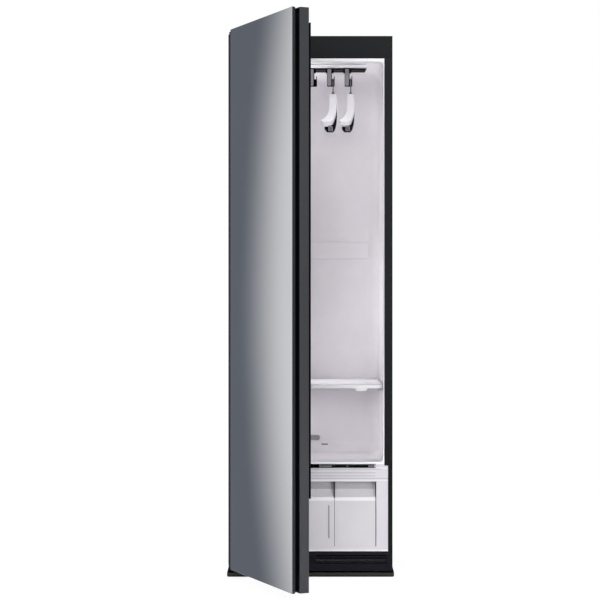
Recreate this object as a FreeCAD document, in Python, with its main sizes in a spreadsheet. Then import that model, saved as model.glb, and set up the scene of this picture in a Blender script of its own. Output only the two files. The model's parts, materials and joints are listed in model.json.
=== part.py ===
"""Steam cabinet for the care of clothes: a tall steel cabinet with one hinged mirror door.

Frame: origin on the floor at the middle of the cabinet's footprint, +X to the right as seen from the
front, +Y from the front to the back, +Z up. Lengths are millimetres.
"""

import FreeCAD
import Part
import Sketcher
import math
import os
from FreeCAD import Placement, Rotation, Vector

# ---------------------------------------------------------------- driving dimensions

DIMENSIONS = {
    # cabinet
    "body_width": 591,
    "body_depth": 564,
    "body_height": 1947.5,
    "sheet_steel": 1.2,
    "sheet_return": 14,
    "fit_gap": 0.3,
    # floor ring, feet and base pan
    "ring_bar": 30,
    "ring_front_height": 13,
    "pan_level": 22,
    "pan_sheet": 2,
    "pan_rim": 38,
    "foot_inset_side": 55,
    "foot_inset_front": 58,
    "foot_pad_radius": 18,
    "foot_pad_height": 9,
    "foot_stud_radius": 5,
    "foot_stud_top": 52,
    "cover_width": 38,
    "cover_length": 64,
    "cover_flare": 5.5,
    "cover_height": 34,
    # front frame
    "frame_depth": 20,
    "low_stile_width": 15.9,
    "stile_step_level": 399,
    # hanging chamber
    "chamber_width": 532,
    "chamber_depth": 480,
    "chamber_floor": 406,
    "chamber_height": 1460,
    "chamber_radius": 40,
    "liner_wall": 3,
    "trim_side": 4,
    "trim_head": 10.6,
    "trim_foot": 5.4,
    "trim_set_back": 1,
    "trim_corner": 14,
    # ceiling
    "ceiling_cover_inset": 56,
    "ceiling_cover_front": 150,
    "ceiling_cover_length": 200,
    "ceiling_cover_height": 4,
    "lens_width": 160,
    "lens_length": 40,
    "lens_front": 74,
    "lens_height": 5,
    # shaken hanging rail
    "rail_centre": 6,
    "rail_inset": 62,
    "rail_front": 240,
    "rail_width": 20,
    "rail_height": 13,
    "rail_drop": 6,
    "rail_stroke": 20,
    "stem_width": 24,
    "stem_length": 8,
    "stem_spread": 130,
    "carriage_height": 6,
    "carriage_width": 60,
    "carriage_overhang": 46,
    "guide_wall": 6,
    "guide_lift": 11,
    "crank_radius": 30,
    "crank_throw": 20,
    "crank_height": 5,
    "crank_pin_radius": 4,
    "crank_shaft_radius": 5,
    "bracket_plate": 3,
    "motor_radius": 30,
    "motor_height": 32,
    # hook blocks
    "hook_pitch": 66,
    "hook_collar_width": 29,
    "hook_strap_width": 19,
    "hook_strap_clear": 1,
    "hook_drop": 54,
    "hook_reach": 13,
    "hook_arm_width": 12,
    "hook_notch_width": 6.4,
    "hook_web": 6,
    "saddle_radius": 7,
    "saddle_drop": 26,
    "prong_height": 10,
    # hangers
    "hanger_turn": 2.6,
    "wire_radius": 2,
    "wire_gap": 0.3,
    "hanger_half_length": 206,
    "hanger_neck_width": 23,
    "hanger_neck_half_length": 20,
    "hanger_straight_length": 95,
    "hanger_tip_outer": 5.3,
    "hanger_tip_inner": 38,
    "hanger_tip_corner": 10,
    "hanger_flank_radius": 620,
    "hanger_crown_radius": 800,
    "hanger_shell_top": 49.5,
    "hanger_tip_drop": 132,
    "hanger_shell_height": 14,
    "hanger_base_height": 9,
    "hanger_base_inset": 1.5,
    "hanger_base_end": 20,
    "hook_leg": 20,
    "hook_swan_drop": 19,
    # wall panel and steam outlet
    "wall_panel_inset": 39,
    "wall_panel_level": 1153,
    "wall_panel_height": 65,
    "wall_panel_proud": 6,
    "outlet_width": 76,
    "outlet_level": 450,
    "outlet_height": 20,
    "outlet_proud": 6,
    "spigot_radius": 7,
    # shelf
    "shelf_side_gap": 5,
    "shelf_front": 30,
    "shelf_back_gap": 5,
    "shelf_top": 688,
    "shelf_height": 12.3,
    "shelf_wall": 3,
    "shelf_corner": 36,
    "shelf_tab_spread": 184,
    "shelf_tab_width": 43,
    "shelf_tab_height": 10,
    "peg_reach": 22,
    "peg_length": 16,
    "peg_height": 11,
    # lower surround, tanks and service cover
    "surround_set_back": 1,
    "surround_sheet": 5,
    "kick_top": 89.4,
    "kick_bottom": 19,
    "kick_depth": 20,
    "kick_wall": 4,
    "bay_width": 474,
    "bay_bottom": 107,
    "bay_top": 341,
    "bay_wall": 3,
    "bay_depth": 236,
    "bay_divider": 86.4,
    "tank_width": 147,
    "tank_floor_gap": 0.3,
    "tank_lid_gap": 1.1,
    "tank_lid_sheet": 3,
    "tank_depth": 226,
    "tank_wall": 2.5,
    "tank_lip_level": 282,
    "tank_grip_depth": 26,
    "tank_brow_height": 30,
    "tank_lap": 1.7,
    "tank_lap_sheet": 4,
    "window_width": 6,
    "window_bottom": 137,
    "window_top": 256,
    "window_depth": 1.2,
    "slot_bottom": 391,
    "slot_inset": 32,
    "filter_inset": 37,
    "filter_width": 193,
    "filter_depth": 110,
    "filter_height": 8,
    "filter_bar": 10,
    "filter_lift": 1.6,
    # kick grille
    "louvre_start": 19.6,
    "louvre_end": 278,
    "louvre_level": 71.5,
    "louvre_pitch": 8.8,
    "louvre_gap": 4,
    "vent_level": 58,
    "vent_radius": 16,
    # door, measured from the hinge axis
    "door_open_angle": 66.8,
    "hinge_side": 283,
    "hinge_front": 60.5,
    "door_face": 7.5,
    "door_bottom": 35,
    "door_over": 12.5,
    "door_left": 11.5,
    "door_right": 578,
    "glass_left": 9.5,
    "glass_right": 577,
    "glass_sheet": 4,
    "panel_depth": 13.5,
    "grip_depth": 14,
    "grip_reach": 20,
    "grip_edge": 7,
    "liner_depth": 34,
    "liner_recess": 5,
    "moulding_wall": 3,
    "panel_rim": 40,
    "core_bar": 22,
    "bracket_gap": 3.5,
    "notch_height": 16,
    "notch_reach": 12,
    "gasket_width": 12,
    "gasket_bottom": 344,
    "gasket_head": 49,
    "gasket_left": 3,
    "gasket_right": 569,
    "hinge_pin_radius": 3,
    "bush_radius": 4.4,
    "bush_length": 14,
    "running_gap": 0.05,
    "bracket_sheet": 4,
    "bracket_arm_width": 16,
    "bracket_flange": 3,
    # machinery
    "compressor_radius": 75,
    "compressor_height": 196,
    "grommet_height": 12,
    "exchanger_width": 260,
    "exchanger_depth": 70,
    "exchanger_height": 226,
    "fin_pitch": 10,
    "fin_gap": 5,
    "blower_radius": 84,
    "blower_height": 70,
    "blower_level": 290,
    "wheel_radius": 62,
    "wheel_height": 46,
    "wheel_blades": 14,
    "generator_width": 130,
    "generator_depth": 80,
    "generator_height": 112,
    "hose_radius": 10,
    "hose_bend": 30,
    "hose_level": 266,
}


class Size:
    """A length that carries its number and the sheet expression that gives it."""

    def __init__(self, number, text):
        self.number = number
        self.text = text

    @staticmethod
    def of(value):
        if isinstance(value, Size):
            return value
        return Size(float(value), f"({value})")

    def __add__(self, other):
        other = Size.of(other)
        return Size(self.number + other.number, f"({self.text} + {other.text})")

    def __sub__(self, other):
        other = Size.of(other)
        return Size(self.number - other.number, f"({self.text} - {other.text})")

    def __mul__(self, other):
        other = Size.of(other)
        return Size(self.number * other.number, f"({self.text} * {other.text})")

    def __truediv__(self, other):
        other = Size.of(other)
        return Size(self.number / other.number, f"({self.text} / {other.text})")

    def __radd__(self, other):
        return Size.of(other) + self

    def __rsub__(self, other):
        return Size.of(other) - self

    def __rmul__(self, other):
        return Size.of(other) * self

    def __neg__(self):
        return Size(-self.number, f"(0 - {self.text})")

    def __float__(self):
        return float(self.number)


class Dimensions:
    """The spreadsheet of driving dimensions, read as attributes."""

    def __init__(self, document, values):
        self.sheet = document.addObject("Spreadsheet::Sheet", "dims")
        for row, (alias, value) in enumerate(values.items(), start=1):
            self.sheet.set(f"A{row}", alias)
            self.sheet.set(f"B{row}", str(value))
            self.sheet.setAlias(f"B{row}", alias)
            setattr(self, alias, Size(float(value), f"dims.{alias}"))
        document.recompute()


doc = FreeCAD.newDocument("steam_cabinet")
d = Dimensions(doc, DIMENSIONS)
PARTS = []

PLANES = {"top": "XY_Plane", "front": "XZ_Plane", "side": "YZ_Plane"}
AXES = {"x": "X_Axis", "y": "Y_Axis", "z": "Z_Axis"}


def bind(target, name, value):
    """Tie a property to the sheet."""
    target.setExpression(name, Size.of(value).text)


# ---------------------------------------------------------------- outlines


class Bend:
    """A round stretch between two corners; side 1 turns left along the outline, -1 turns right."""

    def __init__(self, radius, side):
        self.radius = radius
        self.side = side


class Circle:
    def __init__(self, centre, radius):
        self.centre = centre
        self.radius = radius


def rect(low_a, high_a, low_b, high_b):
    return [(low_a, low_b), (high_a, low_b), (high_a, high_b), (low_a, high_b)]


def ring(low_a, high_a, low_b, high_b, bar):
    inner = rect(low_a + bar, high_a - bar, low_b + bar, high_b - bar)
    return [rect(low_a, high_a, low_b, high_b), inner]


def slot(low_a, high_a, middle_b, radius):
    """A slot with round ends whose long sides run along the first axis."""
    low, high = middle_b - radius, middle_b + radius
    end = Bend(radius, 1)
    return [(low_a, low), (high_a, low), end, (high_a, high), (low_a, high), end]


def fix_point(sketch, geometry, position, place):
    for kind, size in zip(("DistanceX", "DistanceY"), place):
        size = Size.of(size)
        tie = Sketcher.Constraint(kind, -1, 1, geometry, position, size.number)
        number = sketch.addConstraint(tie)
        sketch.setExpression(f"Constraints[{number}]", size.text)


def fix_radius(sketch, geometry, radius):
    radius = Size.of(radius)
    number = sketch.addConstraint(Sketcher.Constraint("Radius", geometry, radius.number))
    sketch.setExpression(f"Constraints[{number}]", radius.text)


def arc_between(start, end, bend):
    """The minor arc from start to end; returns the curve and which ends are start and end."""
    chord = end - start
    left = Vector(-chord.y, chord.x, 0).normalize()
    radius = float(Size.of(bend.radius))
    half = min(chord.Length / 2, radius)
    rise = math.sqrt(max(radius**2 - half**2, 0))
    centre = start + chord * 0.5 + left * (rise * bend.side)
    circle = Part.Circle(centre, Vector(0, 0, 1), radius)
    from_angle = math.atan2(start.y - centre.y, start.x - centre.x)
    to_angle = math.atan2(end.y - centre.y, end.x - centre.x)
    if bend.side > 0:
        return Part.ArcOfCircle(circle, from_angle, to_angle), 1, 2
    return Part.ArcOfCircle(circle, to_angle, from_angle), 2, 1


def draw_path(sketch, items, closed):
    """Draw straight and round sides through the corners and tie every corner to its sizes."""
    corners = [item for item in items if not isinstance(item, Bend)]
    points = [Vector(float(Size.of(a)), float(Size.of(b)), 0) for a, b in corners]
    bends = {}
    seen = 0
    for item in items:
        if isinstance(item, Bend):
            bends[seen - 1] = item
        else:
            seen += 1
    sides = []
    count = len(corners)
    for number in range(count if closed else count - 1):
        start, end = points[number], points[(number + 1) % count]
        if number in bends:
            curve, first, last = arc_between(start, end, bends[number])
        else:
            curve, first, last = Part.LineSegment(start, end), 1, 2
        geometry = sketch.addGeometry(curve, False)
        sides.append((geometry, first, last))
        fix_point(sketch, geometry, first, corners[number])
        if number in bends:
            if not is_half_turn(start, end, bends[number]):
                fix_radius(sketch, geometry, bends[number].radius)
    for number, (geometry, _, last) in enumerate(sides):
        if number + 1 < len(sides) or closed:
            following, first, _ = sides[(number + 1) % len(sides)]
            sketch.addConstraint(
                Sketcher.Constraint("Coincident", geometry, last, following, first)
            )
        else:
            fix_point(sketch, geometry, last, corners[-1])


def is_half_turn(start, end, bend):
    return abs((end - start).Length - 2 * float(Size.of(bend.radius))) < 1e-6


def draw(sketch, loops):
    for loop in loops:
        if isinstance(loop, Circle):
            middle = Vector(*[float(Size.of(v)) for v in loop.centre], 0)
            radius = float(Size.of(loop.radius))
            curve = Part.Circle(middle, Vector(0, 0, 1), radius)
            geometry = sketch.addGeometry(curve, False)
            fix_point(sketch, geometry, 3, loop.centre)
            fix_radius(sketch, geometry, loop.radius)
        else:
            draw_path(sketch, loop, closed=True)


# ---------------------------------------------------------------- one solid piece


class Piece:
    """A PartDesign body built by pads and pockets in the top, front and side views."""

    def __init__(self, label, separate=False):
        self.body = doc.addObject("PartDesign::Body", label)
        self.body.Label = label
        if separate:
            self.body.AllowCompound = True
        self.count = 0
        PARTS.append(self.body)

    def name(self, word):
        self.count += 1
        return f"{self.body.Name}_{word}_{self.count}"

    def origin(self, role):
        features = self.body.Origin.OriginFeatures
        return next(feature for feature in features if feature.Role == role)

    def sketch(self, view, offset, loops):
        sketch = self.body.newObject("Sketcher::SketchObject", self.name("sketch"))
        sketch.AttachmentSupport = [(self.origin(PLANES[view]), "")]
        sketch.MapMode = "FlatFace"
        offset = Size.of(offset)
        bind(sketch, "AttachmentOffset.Base.z", -offset if view == "front" else offset)
        draw(sketch, loops)
        return sketch

    def pad(self, view, low, high, *loops):
        """Material between two levels of the view's depth."""
        start = high if view == "front" else low
        sketch = self.sketch(view, start, loops)
        pad = self.body.newObject("PartDesign::Pad", self.name("pad"))
        pad.Profile = sketch
        bind(pad, "Length", Size.of(high) - low)
        return self.finish(pad)

    def cut(self, view, low, high, *loops):
        """A pocket between two levels of the view's depth."""
        start = low if view == "front" else high
        sketch = self.sketch(view, start, loops)
        before = self.body.Shape.Volume
        pocket = self.body.newObject("PartDesign::Pocket", self.name("pocket"))
        pocket.Profile = sketch
        bind(pocket, "Length", Size.of(high) - low)
        self.finish(pocket)
        if self.body.Shape.Volume >= before:
            raise ValueError(f"{pocket.Name} removes nothing")
        return pocket

    def revolve(self, profile, cut=False):
        """Turn a profile of (radius, height) about the vertical axis."""
        sketch = self.sketch("front", 0, [profile])
        kind = "Groove" if cut else "Revolution"
        turned = self.body.newObject(f"PartDesign::{kind}", self.name("turn"))
        turned.Profile = sketch
        turned.ReferenceAxis = (sketch, ["V_Axis"])
        turned.Angle = 360
        return self.finish(turned)

    def pipe(self, view, offset, path, *rings):
        """Sweep rings, drawn in the top view at the path's first point, along a path."""
        spine = self.body.newObject("Sketcher::SketchObject", self.name("path"))
        spine.AttachmentSupport = [(self.origin(PLANES[view]), "")]
        spine.MapMode = "FlatFace"
        offset = Size.of(offset)
        bind(spine, "AttachmentOffset.Base.z", -offset if view == "front" else offset)
        draw_path(spine, path, closed=False)
        sketch = self.sketch("top", path[0][1], rings)
        pipe = self.body.newObject("PartDesign::AdditivePipe", self.name("pipe"))
        pipe.Profile = sketch
        pipe.Spine = spine
        return self.finish(pipe)

    def repeat(self, feature, axis, pitch, occurrences, backwards=False):
        pattern = self.body.newObject("PartDesign::LinearPattern", self.name("row"))
        pattern.Originals = [feature]
        pattern.Direction = (self.origin(AXES[axis]), [""])
        pattern.Reversed = backwards
        bind(pattern, "Length", Size.of(pitch) * (occurrences - 1))
        pattern.Occurrences = occurrences
        self.body.Tip = pattern
        return self.finish(pattern)

    def repeat_round(self, feature, occurrences):
        pattern = self.body.newObject("PartDesign::PolarPattern", self.name("round"))
        pattern.Originals = [feature]
        pattern.Axis = (self.origin("Z_Axis"), [""])
        pattern.Angle = 360
        pattern.Occurrences = occurrences
        self.body.Tip = pattern
        return self.finish(pattern)

    def edges(self, wanted):
        shape = self.body.Tip.Shape
        found = [f"Edge{n}" for n, edge in enumerate(shape.Edges, 1) if wanted(edge)]
        if not found:
            raise ValueError(f"{self.body.Label}: no edge to round or bevel")
        return found

    def round(self, radius, wanted):
        names = self.edges(wanted)
        base = self.body.Tip
        fillet = self.body.newObject("PartDesign::Fillet", self.name("fillet"))
        fillet.Base = (base, names)
        bind(fillet, "Radius", radius)
        return self.finish(fillet)

    def bevel(self, size, wanted):
        names = self.edges(wanted)
        base = self.body.Tip
        chamfer = self.body.newObject("PartDesign::Chamfer", self.name("chamfer"))
        chamfer.Base = (base, names)
        bind(chamfer, "Size", size)
        return self.finish(chamfer)

    def finish(self, feature):
        doc.recompute()
        if "Invalid" in feature.State or "Error" in feature.State:
            raise ValueError(f"{feature.Name} failed: {feature.State}")
        return feature

    def place(self, x=0, y=0, z=0, axis=None, angle=0):
        turn = Rotation(Vector(*axis), float(Size.of(angle))) if axis else Rotation()
        self.body.Placement = Placement(Vector(), turn)
        for letter, value in zip("xyz", (x, y, z)):
            bind(self.body, f"Placement.Base.{letter}", value)
        if axis:
            bind(self.body, "Placement.Rotation.Angle", angle)
        return self


NEAR = 0.01


def straight(axis, **at):
    """Picks straight edges along an axis whose middle has the given coordinates."""

    def wanted(edge):
        ends = edge.Vertexes
        if len(ends) != 2:
            return False
        run = ends[1].Point - ends[0].Point
        other = [abs(getattr(run, letter)) for letter in "xyz" if letter != axis]
        if max(other) > NEAR or run.Length < NEAR:
            return False
        middle = (ends[0].Point + ends[1].Point) * 0.5
        return all(matches(getattr(middle, letter), value) for letter, value in at.items())

    return wanted


def level(axis, place):
    """Picks every edge that lies wholly at one coordinate."""

    def wanted(edge):
        low = getattr(edge.BoundBox, f"{axis.upper()}Min")
        high = getattr(edge.BoundBox, f"{axis.upper()}Max")
        return matches(low, place) and matches(high, place)

    return wanted


def matches(number, value):
    values = value if isinstance(value, (list, tuple)) else [value]
    return any(abs(number - float(Size.of(v))) < NEAR for v in values)


def compound(label, members):
    """Identical separate solids under one name."""
    group = doc.addObject("Part::Compound", label)
    group.Label = label
    group.Links = members
    PARTS.append(group)
    return group


def member(kind, name, **sizes):
    """A Part primitive for a group, with bound sizes and place."""
    solid = doc.addObject(f"Part::{kind}", name)
    for letter in "xyz":
        bind(solid, f"Placement.Base.{letter}", sizes.pop(letter, 0))
    for prop, value in sizes.items():
        bind(solid, prop, value)
    return solid


# ---------------------------------------------------------------- shared places

half = d.body_width / 2
front = -d.body_depth / 2
back = d.body_depth / 2
frame_back = front + d.frame_depth
sheet_inside = half - d.sheet_steel
chamber_half = d.chamber_width / 2
chamber_back = frame_back + d.chamber_depth
ceiling = d.chamber_floor + d.chamber_height
liner_top = ceiling + d.liner_wall
liner_back = chamber_back + d.liner_wall
pan_floor = d.pan_level + d.pan_sheet
rail_y = front + d.rail_front + d.rail_width / 2
rail_top = ceiling - d.rail_drop
rail_bottom = rail_top - d.rail_height
bay_half = d.bay_width / 2
surround_front = front + d.surround_set_back
surround_back = surround_front + d.surround_sheet
bay_back = surround_back + d.bay_depth
hinge_x = -d.hinge_side
hinge_y = front - d.hinge_front
liner_underside = d.chamber_floor - d.liner_wall
outlet_z = d.outlet_level + d.outlet_height / 2

FOOT_PLACES = ((-1, -1), (1, -1), (1, 1), (-1, 1))
PEG_PLACES = (-190, 130)

# ---------------------------------------------------------------- base and feet


def base_frame():
    """Floor ring under the cabinet, lower at the front than along the sides and back."""
    piece = Piece("base_frame")
    piece.pad("top", 0, d.ring_front_height, *ring(-half, half, front, back, d.ring_bar))
    rear = front + d.ring_bar
    outer = [(-half, rear), (-half, back), (half, back), (half, rear)]
    inner = half - d.ring_bar
    inside = back - d.ring_bar
    bars = outer + [(inner, rear), (inner, inside), (-inner, inside), (-inner, rear)]
    piece.pad("top", d.ring_front_height, d.pan_level, bars)
    piece.bevel(2, straight("x", y=front, z=0))


def foot_covers():
    """Moulded covers over the front corners of the floor ring, flared towards the floor."""
    piece = Piece("foot_covers", separate=True)
    for side in (-1, 1):
        edge = half * side
        flare = (half + d.cover_flare) * side
        outline = [
            (edge, 0.5),
            (flare, 0.5),
            (flare, d.ring_front_height),
            (edge, d.cover_height),
        ]
        piece.pad("front", front, front + d.cover_length, outline)
        inner = (half - d.cover_width) * side
        low, high = (edge, inner) if side < 0 else (inner, edge)
        lip = rect(low, high, 0.5, d.ring_front_height)
        piece.pad("front", front - 2, front, lip)
        left, right = (flare, edge) if side < 0 else (edge, flare)
        corner = rect(left, right, 0.5, d.ring_front_height)
        piece.pad("front", front - 2, front, corner)


def levelling_feet():
    """Screw feet: a round pad with a threaded stud that passes the base pan."""
    pad_edge = d.foot_pad_radius
    profile = [
        (0, 0),
        (pad_edge, 0),
        (pad_edge, d.foot_pad_height / 2),
        (d.foot_stud_radius + 3, d.foot_pad_height),
        (d.foot_stud_radius, d.foot_pad_height),
        (d.foot_stud_radius, d.foot_stud_top),
        (0, d.foot_stud_top),
    ]
    for number, (side, end) in enumerate(FOOT_PLACES, 1):
        piece = Piece(f"levelling_foot_{number}")
        piece.revolve(profile)
        x, y = foot_place(side, end)
        piece.place(x=x, y=y)


def foot_place(side, end):
    return (half - d.foot_inset_side) * side, (back - d.foot_inset_front) * end


def base_pan():
    """Steel tray that carries the machinery, with a hole for each levelling stud."""
    piece = Piece("base_pan")
    inner = sheet_inside - d.fit_gap
    near = frame_back + d.sheet_steel + d.fit_gap
    rear = back - d.sheet_steel
    top = d.pan_level + d.pan_rim
    piece.pad("top", d.pan_level, top, rect(-inner, inner, near, rear))
    rim = d.pan_sheet
    hollow = rect(-inner + rim, inner - rim, near + rim, rear - rim)
    piece.cut("top", pan_floor, top, hollow)
    holes = [
        Circle(foot_place(side, end), d.foot_stud_radius + d.fit_gap)
        for side, end in FOOT_PLACES
    ]
    piece.cut("top", d.pan_level, pan_floor, *holes)


# ---------------------------------------------------------------- outer casing


def side_panels():
    """Folded steel sheets with a return at the front and the back edge."""
    for name, side in (("side_panel_left", -1), ("side_panel_right", 1)):
        piece = Piece(name)
        web = sheet_inside * side
        edge = half * side
        lip = (sheet_inside - d.sheet_return) * side
        wall = d.sheet_steel
        outline = [
            (edge, frame_back),
            (edge, back),
            (lip, back),
            (lip, back - wall),
            (web, back - wall),
            (web, frame_back + wall),
            (lip, frame_back + wall),
            (lip, frame_back),
        ]
        piece.pad("top", d.pan_level, d.body_height - d.sheet_steel, outline)


def top_panel():
    """Lid sheet with a stiffening rim that drops inside the side panels."""
    piece = Piece("top_panel")
    under = d.body_height - d.sheet_steel
    piece.pad("top", under, d.body_height, rect(-half, half, frame_back, back))
    wall = d.sheet_steel
    edge = sheet_inside - 2 * d.fit_gap
    near = frame_back + 2 * wall
    far = back - 3 * wall
    piece.pad("top", under - 10, under, *ring(-edge, edge, near, far, wall))


def back_panels():
    """Plain upper back sheet and the lower service sheet with its vent louvres."""
    wall = d.sheet_steel
    piece = Piece("back_panel")
    edge = sheet_inside - d.fit_gap
    split = liner_underside - 4
    top = d.body_height - wall - d.fit_gap
    piece.pad("front", back - 2 * wall, back - wall, rect(-edge, edge, split, top))
    for level_up in range(3):
        low = split + 300 + 420 * level_up
        rib = rect(-edge + 60, edge - 60, low, low + 24)
        piece.pad("front", back - wall, back - 0.2, rib)

    cover = Piece("rear_service_panel")
    reach = sheet_inside - d.sheet_return - d.fit_gap
    low = d.pan_level + 8
    cover.pad("front", back - wall, back, rect(-reach, reach, low, split + 12))
    vent = cover.cut("front", back - wall, back, slot(70, 210, low + 60, 3))
    cover.repeat(vent, "z", 14, 12)


def front_frame():
    """Painted frame round the opening; the stiles are narrower beside the lower surround."""
    piece = Piece("front_frame")
    open_top = ceiling + d.fit_gap * 2
    stile = chamber_half + d.fit_gap
    low_stile = half - d.low_stile_width
    outline = [
        (-half, d.kick_top),
        (-low_stile, d.kick_top),
        (-low_stile, d.stile_step_level),
        (-stile, d.stile_step_level),
        (-stile, open_top),
        (stile, open_top),
        (stile, d.stile_step_level),
        (low_stile, d.stile_step_level),
        (low_stile, d.kick_top),
        (half, d.kick_top),
        (half, d.body_height),
        (-half, d.body_height),
    ]
    piece.pad("front", front, frame_back, outline)
    piece.round(2, straight("z", x=[-half, half], y=front))
    piece.round(1.5, straight("x", y=front, z=d.body_height))


# ---------------------------------------------------------------- hanging chamber


def inner_liner():
    """Moulded chamber shell, open at the front, with rounded corners all round."""
    piece = Piece("inner_liner")
    outer = chamber_half + d.liner_wall
    shell = rect(-outer, outer, liner_underside, liner_top)
    piece.pad("front", frame_back, liner_back, shell)
    radius = d.chamber_radius + d.liner_wall
    piece.round(radius, straight("y", x=[-outer, outer], z=[liner_underside, liner_top]))
    piece.round(radius - 1, level("y", liner_back))
    base = piece.body.Tip
    mouth = [
        f"Face{n}"
        for n, face in enumerate(base.Shape.Faces, 1)
        if matches(face.BoundBox.YMax, frame_back)
    ]
    hollow = piece.body.newObject("PartDesign::Thickness", "inner_liner_wall")
    hollow.Base = (base, mouth)
    hollow.Reversed = True
    bind(hollow, "Value", d.liner_wall)
    piece.finish(hollow)
    piece.cut("top", ceiling, liner_top, *stem_slots())
    outlet = Circle((0, outlet_z), d.spigot_radius + d.fit_gap)
    piece.cut("front", chamber_back, liner_back, outlet)
    peg_top = d.shelf_top - d.shelf_height - d.fit_gap
    peg_low = peg_top - d.peg_height
    tip = chamber_half - d.peg_reach
    for near in PEG_PLACES:
        for low_x, high_x in ((tip, chamber_half), (-chamber_half, -tip)):
            peg = rect(low_x, high_x, peg_low, peg_top)
            piece.pad("front", near, near + d.peg_length, peg)
    piece.round(4, straight("y", x=[tip, -tip], z=peg_low))


def stem_slots():
    """Slots that let the two rail stems travel sideways."""
    long = d.stem_width / 2 + d.rail_stroke + 3
    deep = d.stem_length / 2 + 2
    return [
        rect(x - long, x + long, rail_y - deep, rail_y + deep)
        for x in (d.rail_centre - d.stem_spread, d.rail_centre + d.stem_spread)
    ]


def opening_trim():
    """White moulded lip that closes the joint between frame and liner."""
    piece = Piece("opening_trim")
    near = front + d.trim_set_back
    low = liner_underside + d.fit_gap
    high = ceiling + d.fit_gap
    piece.pad("front", near, frame_back, rect(-chamber_half, chamber_half, low, high))
    inner = chamber_half - d.trim_side
    open_low = d.chamber_floor + d.trim_foot
    open_high = ceiling - d.trim_head
    piece.cut("front", near, frame_back, rect(-inner, inner, open_low, open_high))
    corners = straight("y", x=[-inner, inner], z=[open_low, open_high])
    piece.round(d.trim_corner, corners)


def ceiling_fittings():
    """Cover plate with the rail's slots, and the light lens in front of it."""
    cover = Piece("ceiling_cover")
    half_cover = chamber_half - d.ceiling_cover_inset
    near = front + d.ceiling_cover_front
    far = near + d.ceiling_cover_length
    low = ceiling - d.ceiling_cover_height
    cover.pad("top", low, ceiling, rect(-half_cover, half_cover, near, far))
    cover.cut("top", low, ceiling, *stem_slots())
    vent = slot(-110, 110, near + 22, 2)
    row = cover.cut("top", low, ceiling - 1, vent)
    cover.repeat(row, "y", 9, 4)
    cover.round(10, straight("z", x=[-half_cover, half_cover], y=[near, far]))
    cover.bevel(1.5, straight("x", y=near, z=low))

    lens = Piece("light_lens")
    reach = d.lens_width / 2
    near = front + d.lens_front
    far = near + d.lens_length
    low = ceiling - d.lens_height
    lens.pad("top", low, ceiling, rect(-reach, reach, near, far))
    lens.round(8, straight("z", x=[-reach, reach], y=[near, far]))
    lens.bevel(2, level("z", low))


def wall_fittings():
    """Raised air panel and the steam outlet on the chamber's back wall."""
    panel = Piece("rear_air_panel")
    reach = chamber_half - d.wall_panel_inset
    near = chamber_back - d.wall_panel_proud
    low = d.wall_panel_level
    high = low + d.wall_panel_height
    panel.pad("front", near, chamber_back, rect(-reach, reach, low, high))
    panel.round(9, straight("y", x=[-reach, reach], z=[low, high]))
    panel.bevel(2, level("y", near))

    outlet = Piece("steam_outlet")
    reach = d.outlet_width / 2
    near = chamber_back - d.outlet_proud
    low = d.outlet_level
    high = low + d.outlet_height
    outlet.pad("front", near, chamber_back, rect(-reach, reach, low, high))
    outlet.round(8, straight("y", x=[-reach, reach], z=[low, high]))
    tube = Circle((0, outlet_z), d.spigot_radius)
    outlet.pad("front", chamber_back, liner_back + 14, tube)
    for x in (-24, -12, 12, 24):
        outlet.cut("front", near, near + 3, rect(x - 1.5, x + 1.5, low + 4, high - 4))


def shelf():
    """Lift-out shelf: a moulded tray turned over, ribbed below, with two finger tabs."""
    piece = Piece("shelf")
    reach = chamber_half - d.shelf_side_gap
    near = front + d.shelf_front
    far = chamber_back - d.shelf_back_gap
    top = d.shelf_top
    low = top - d.shelf_height
    piece.pad("top", low, top, rect(-reach, reach, near, far))
    piece.round(d.shelf_corner, straight("z", x=[-reach, reach], y=far))
    piece.round(10, straight("z", x=[-reach, reach], y=near))
    wall = d.shelf_wall
    cells = 6
    clear = reach - d.shelf_corner / 2
    pitch = clear * 2 / cells
    first = -clear
    cell = rect(first + wall, first + pitch - wall, near + 12, far - 30)
    pocket = piece.sketch("top", low, [cell])
    hollow = piece.body.newObject("PartDesign::Pocket", "shelf_cell")
    hollow.Profile = pocket
    hollow.Reversed = True
    bind(hollow, "Length", d.shelf_height - wall)
    piece.finish(hollow)
    piece.repeat(hollow, "x", pitch, cells)
    for side in (-1, 1):
        middle = d.shelf_tab_spread * side
        reach_tab = d.shelf_tab_width / 2
        tab = rect(middle - reach_tab, middle + reach_tab, low - d.shelf_tab_height, low)
        piece.pad("front", near, near + wall + 3, tab)
        ends = straight("y", x=[middle - reach_tab, middle + reach_tab], z=low - d.shelf_tab_height)
        piece.round(9, ends)
    piece.round(1.2, level("z", top))


# ---------------------------------------------------------------- shaken rail and its drive

saddle_top = rail_bottom - d.saddle_drop
rail_low = d.rail_centre - chamber_half + d.rail_inset
rail_high = d.rail_centre + chamber_half - d.rail_inset
carriage_low = liner_top + d.guide_lift
carriage_high = carriage_low + d.carriage_height
bracket_low = carriage_high + 6 + d.crank_height + 2
hook_offsets = (-2, -1, 0, 1, 2)


def rail_y_span(width):
    return rail_y - width / 2, rail_y + width / 2


def hanger_rail():
    """Flat dark rail with slanted ends and two stems that pass the ceiling."""
    piece = Piece("hanger_rail")
    near, far = rail_y_span(d.rail_width)
    slant = 6
    outline = [
        (rail_low + slant, rail_bottom),
        (rail_high - slant, rail_bottom),
        (rail_high, rail_top),
        (rail_low, rail_top),
    ]
    piece.pad("front", near, far, outline)
    stem_near, stem_far = rail_y_span(d.stem_length)
    stems = []
    for x in (d.rail_centre - d.stem_spread, d.rail_centre + d.stem_spread):
        stems.append(rect(x - d.stem_width / 2, x + d.stem_width / 2, stem_near, stem_far))
    piece.pad("top", rail_top, carriage_low, *stems)


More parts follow.
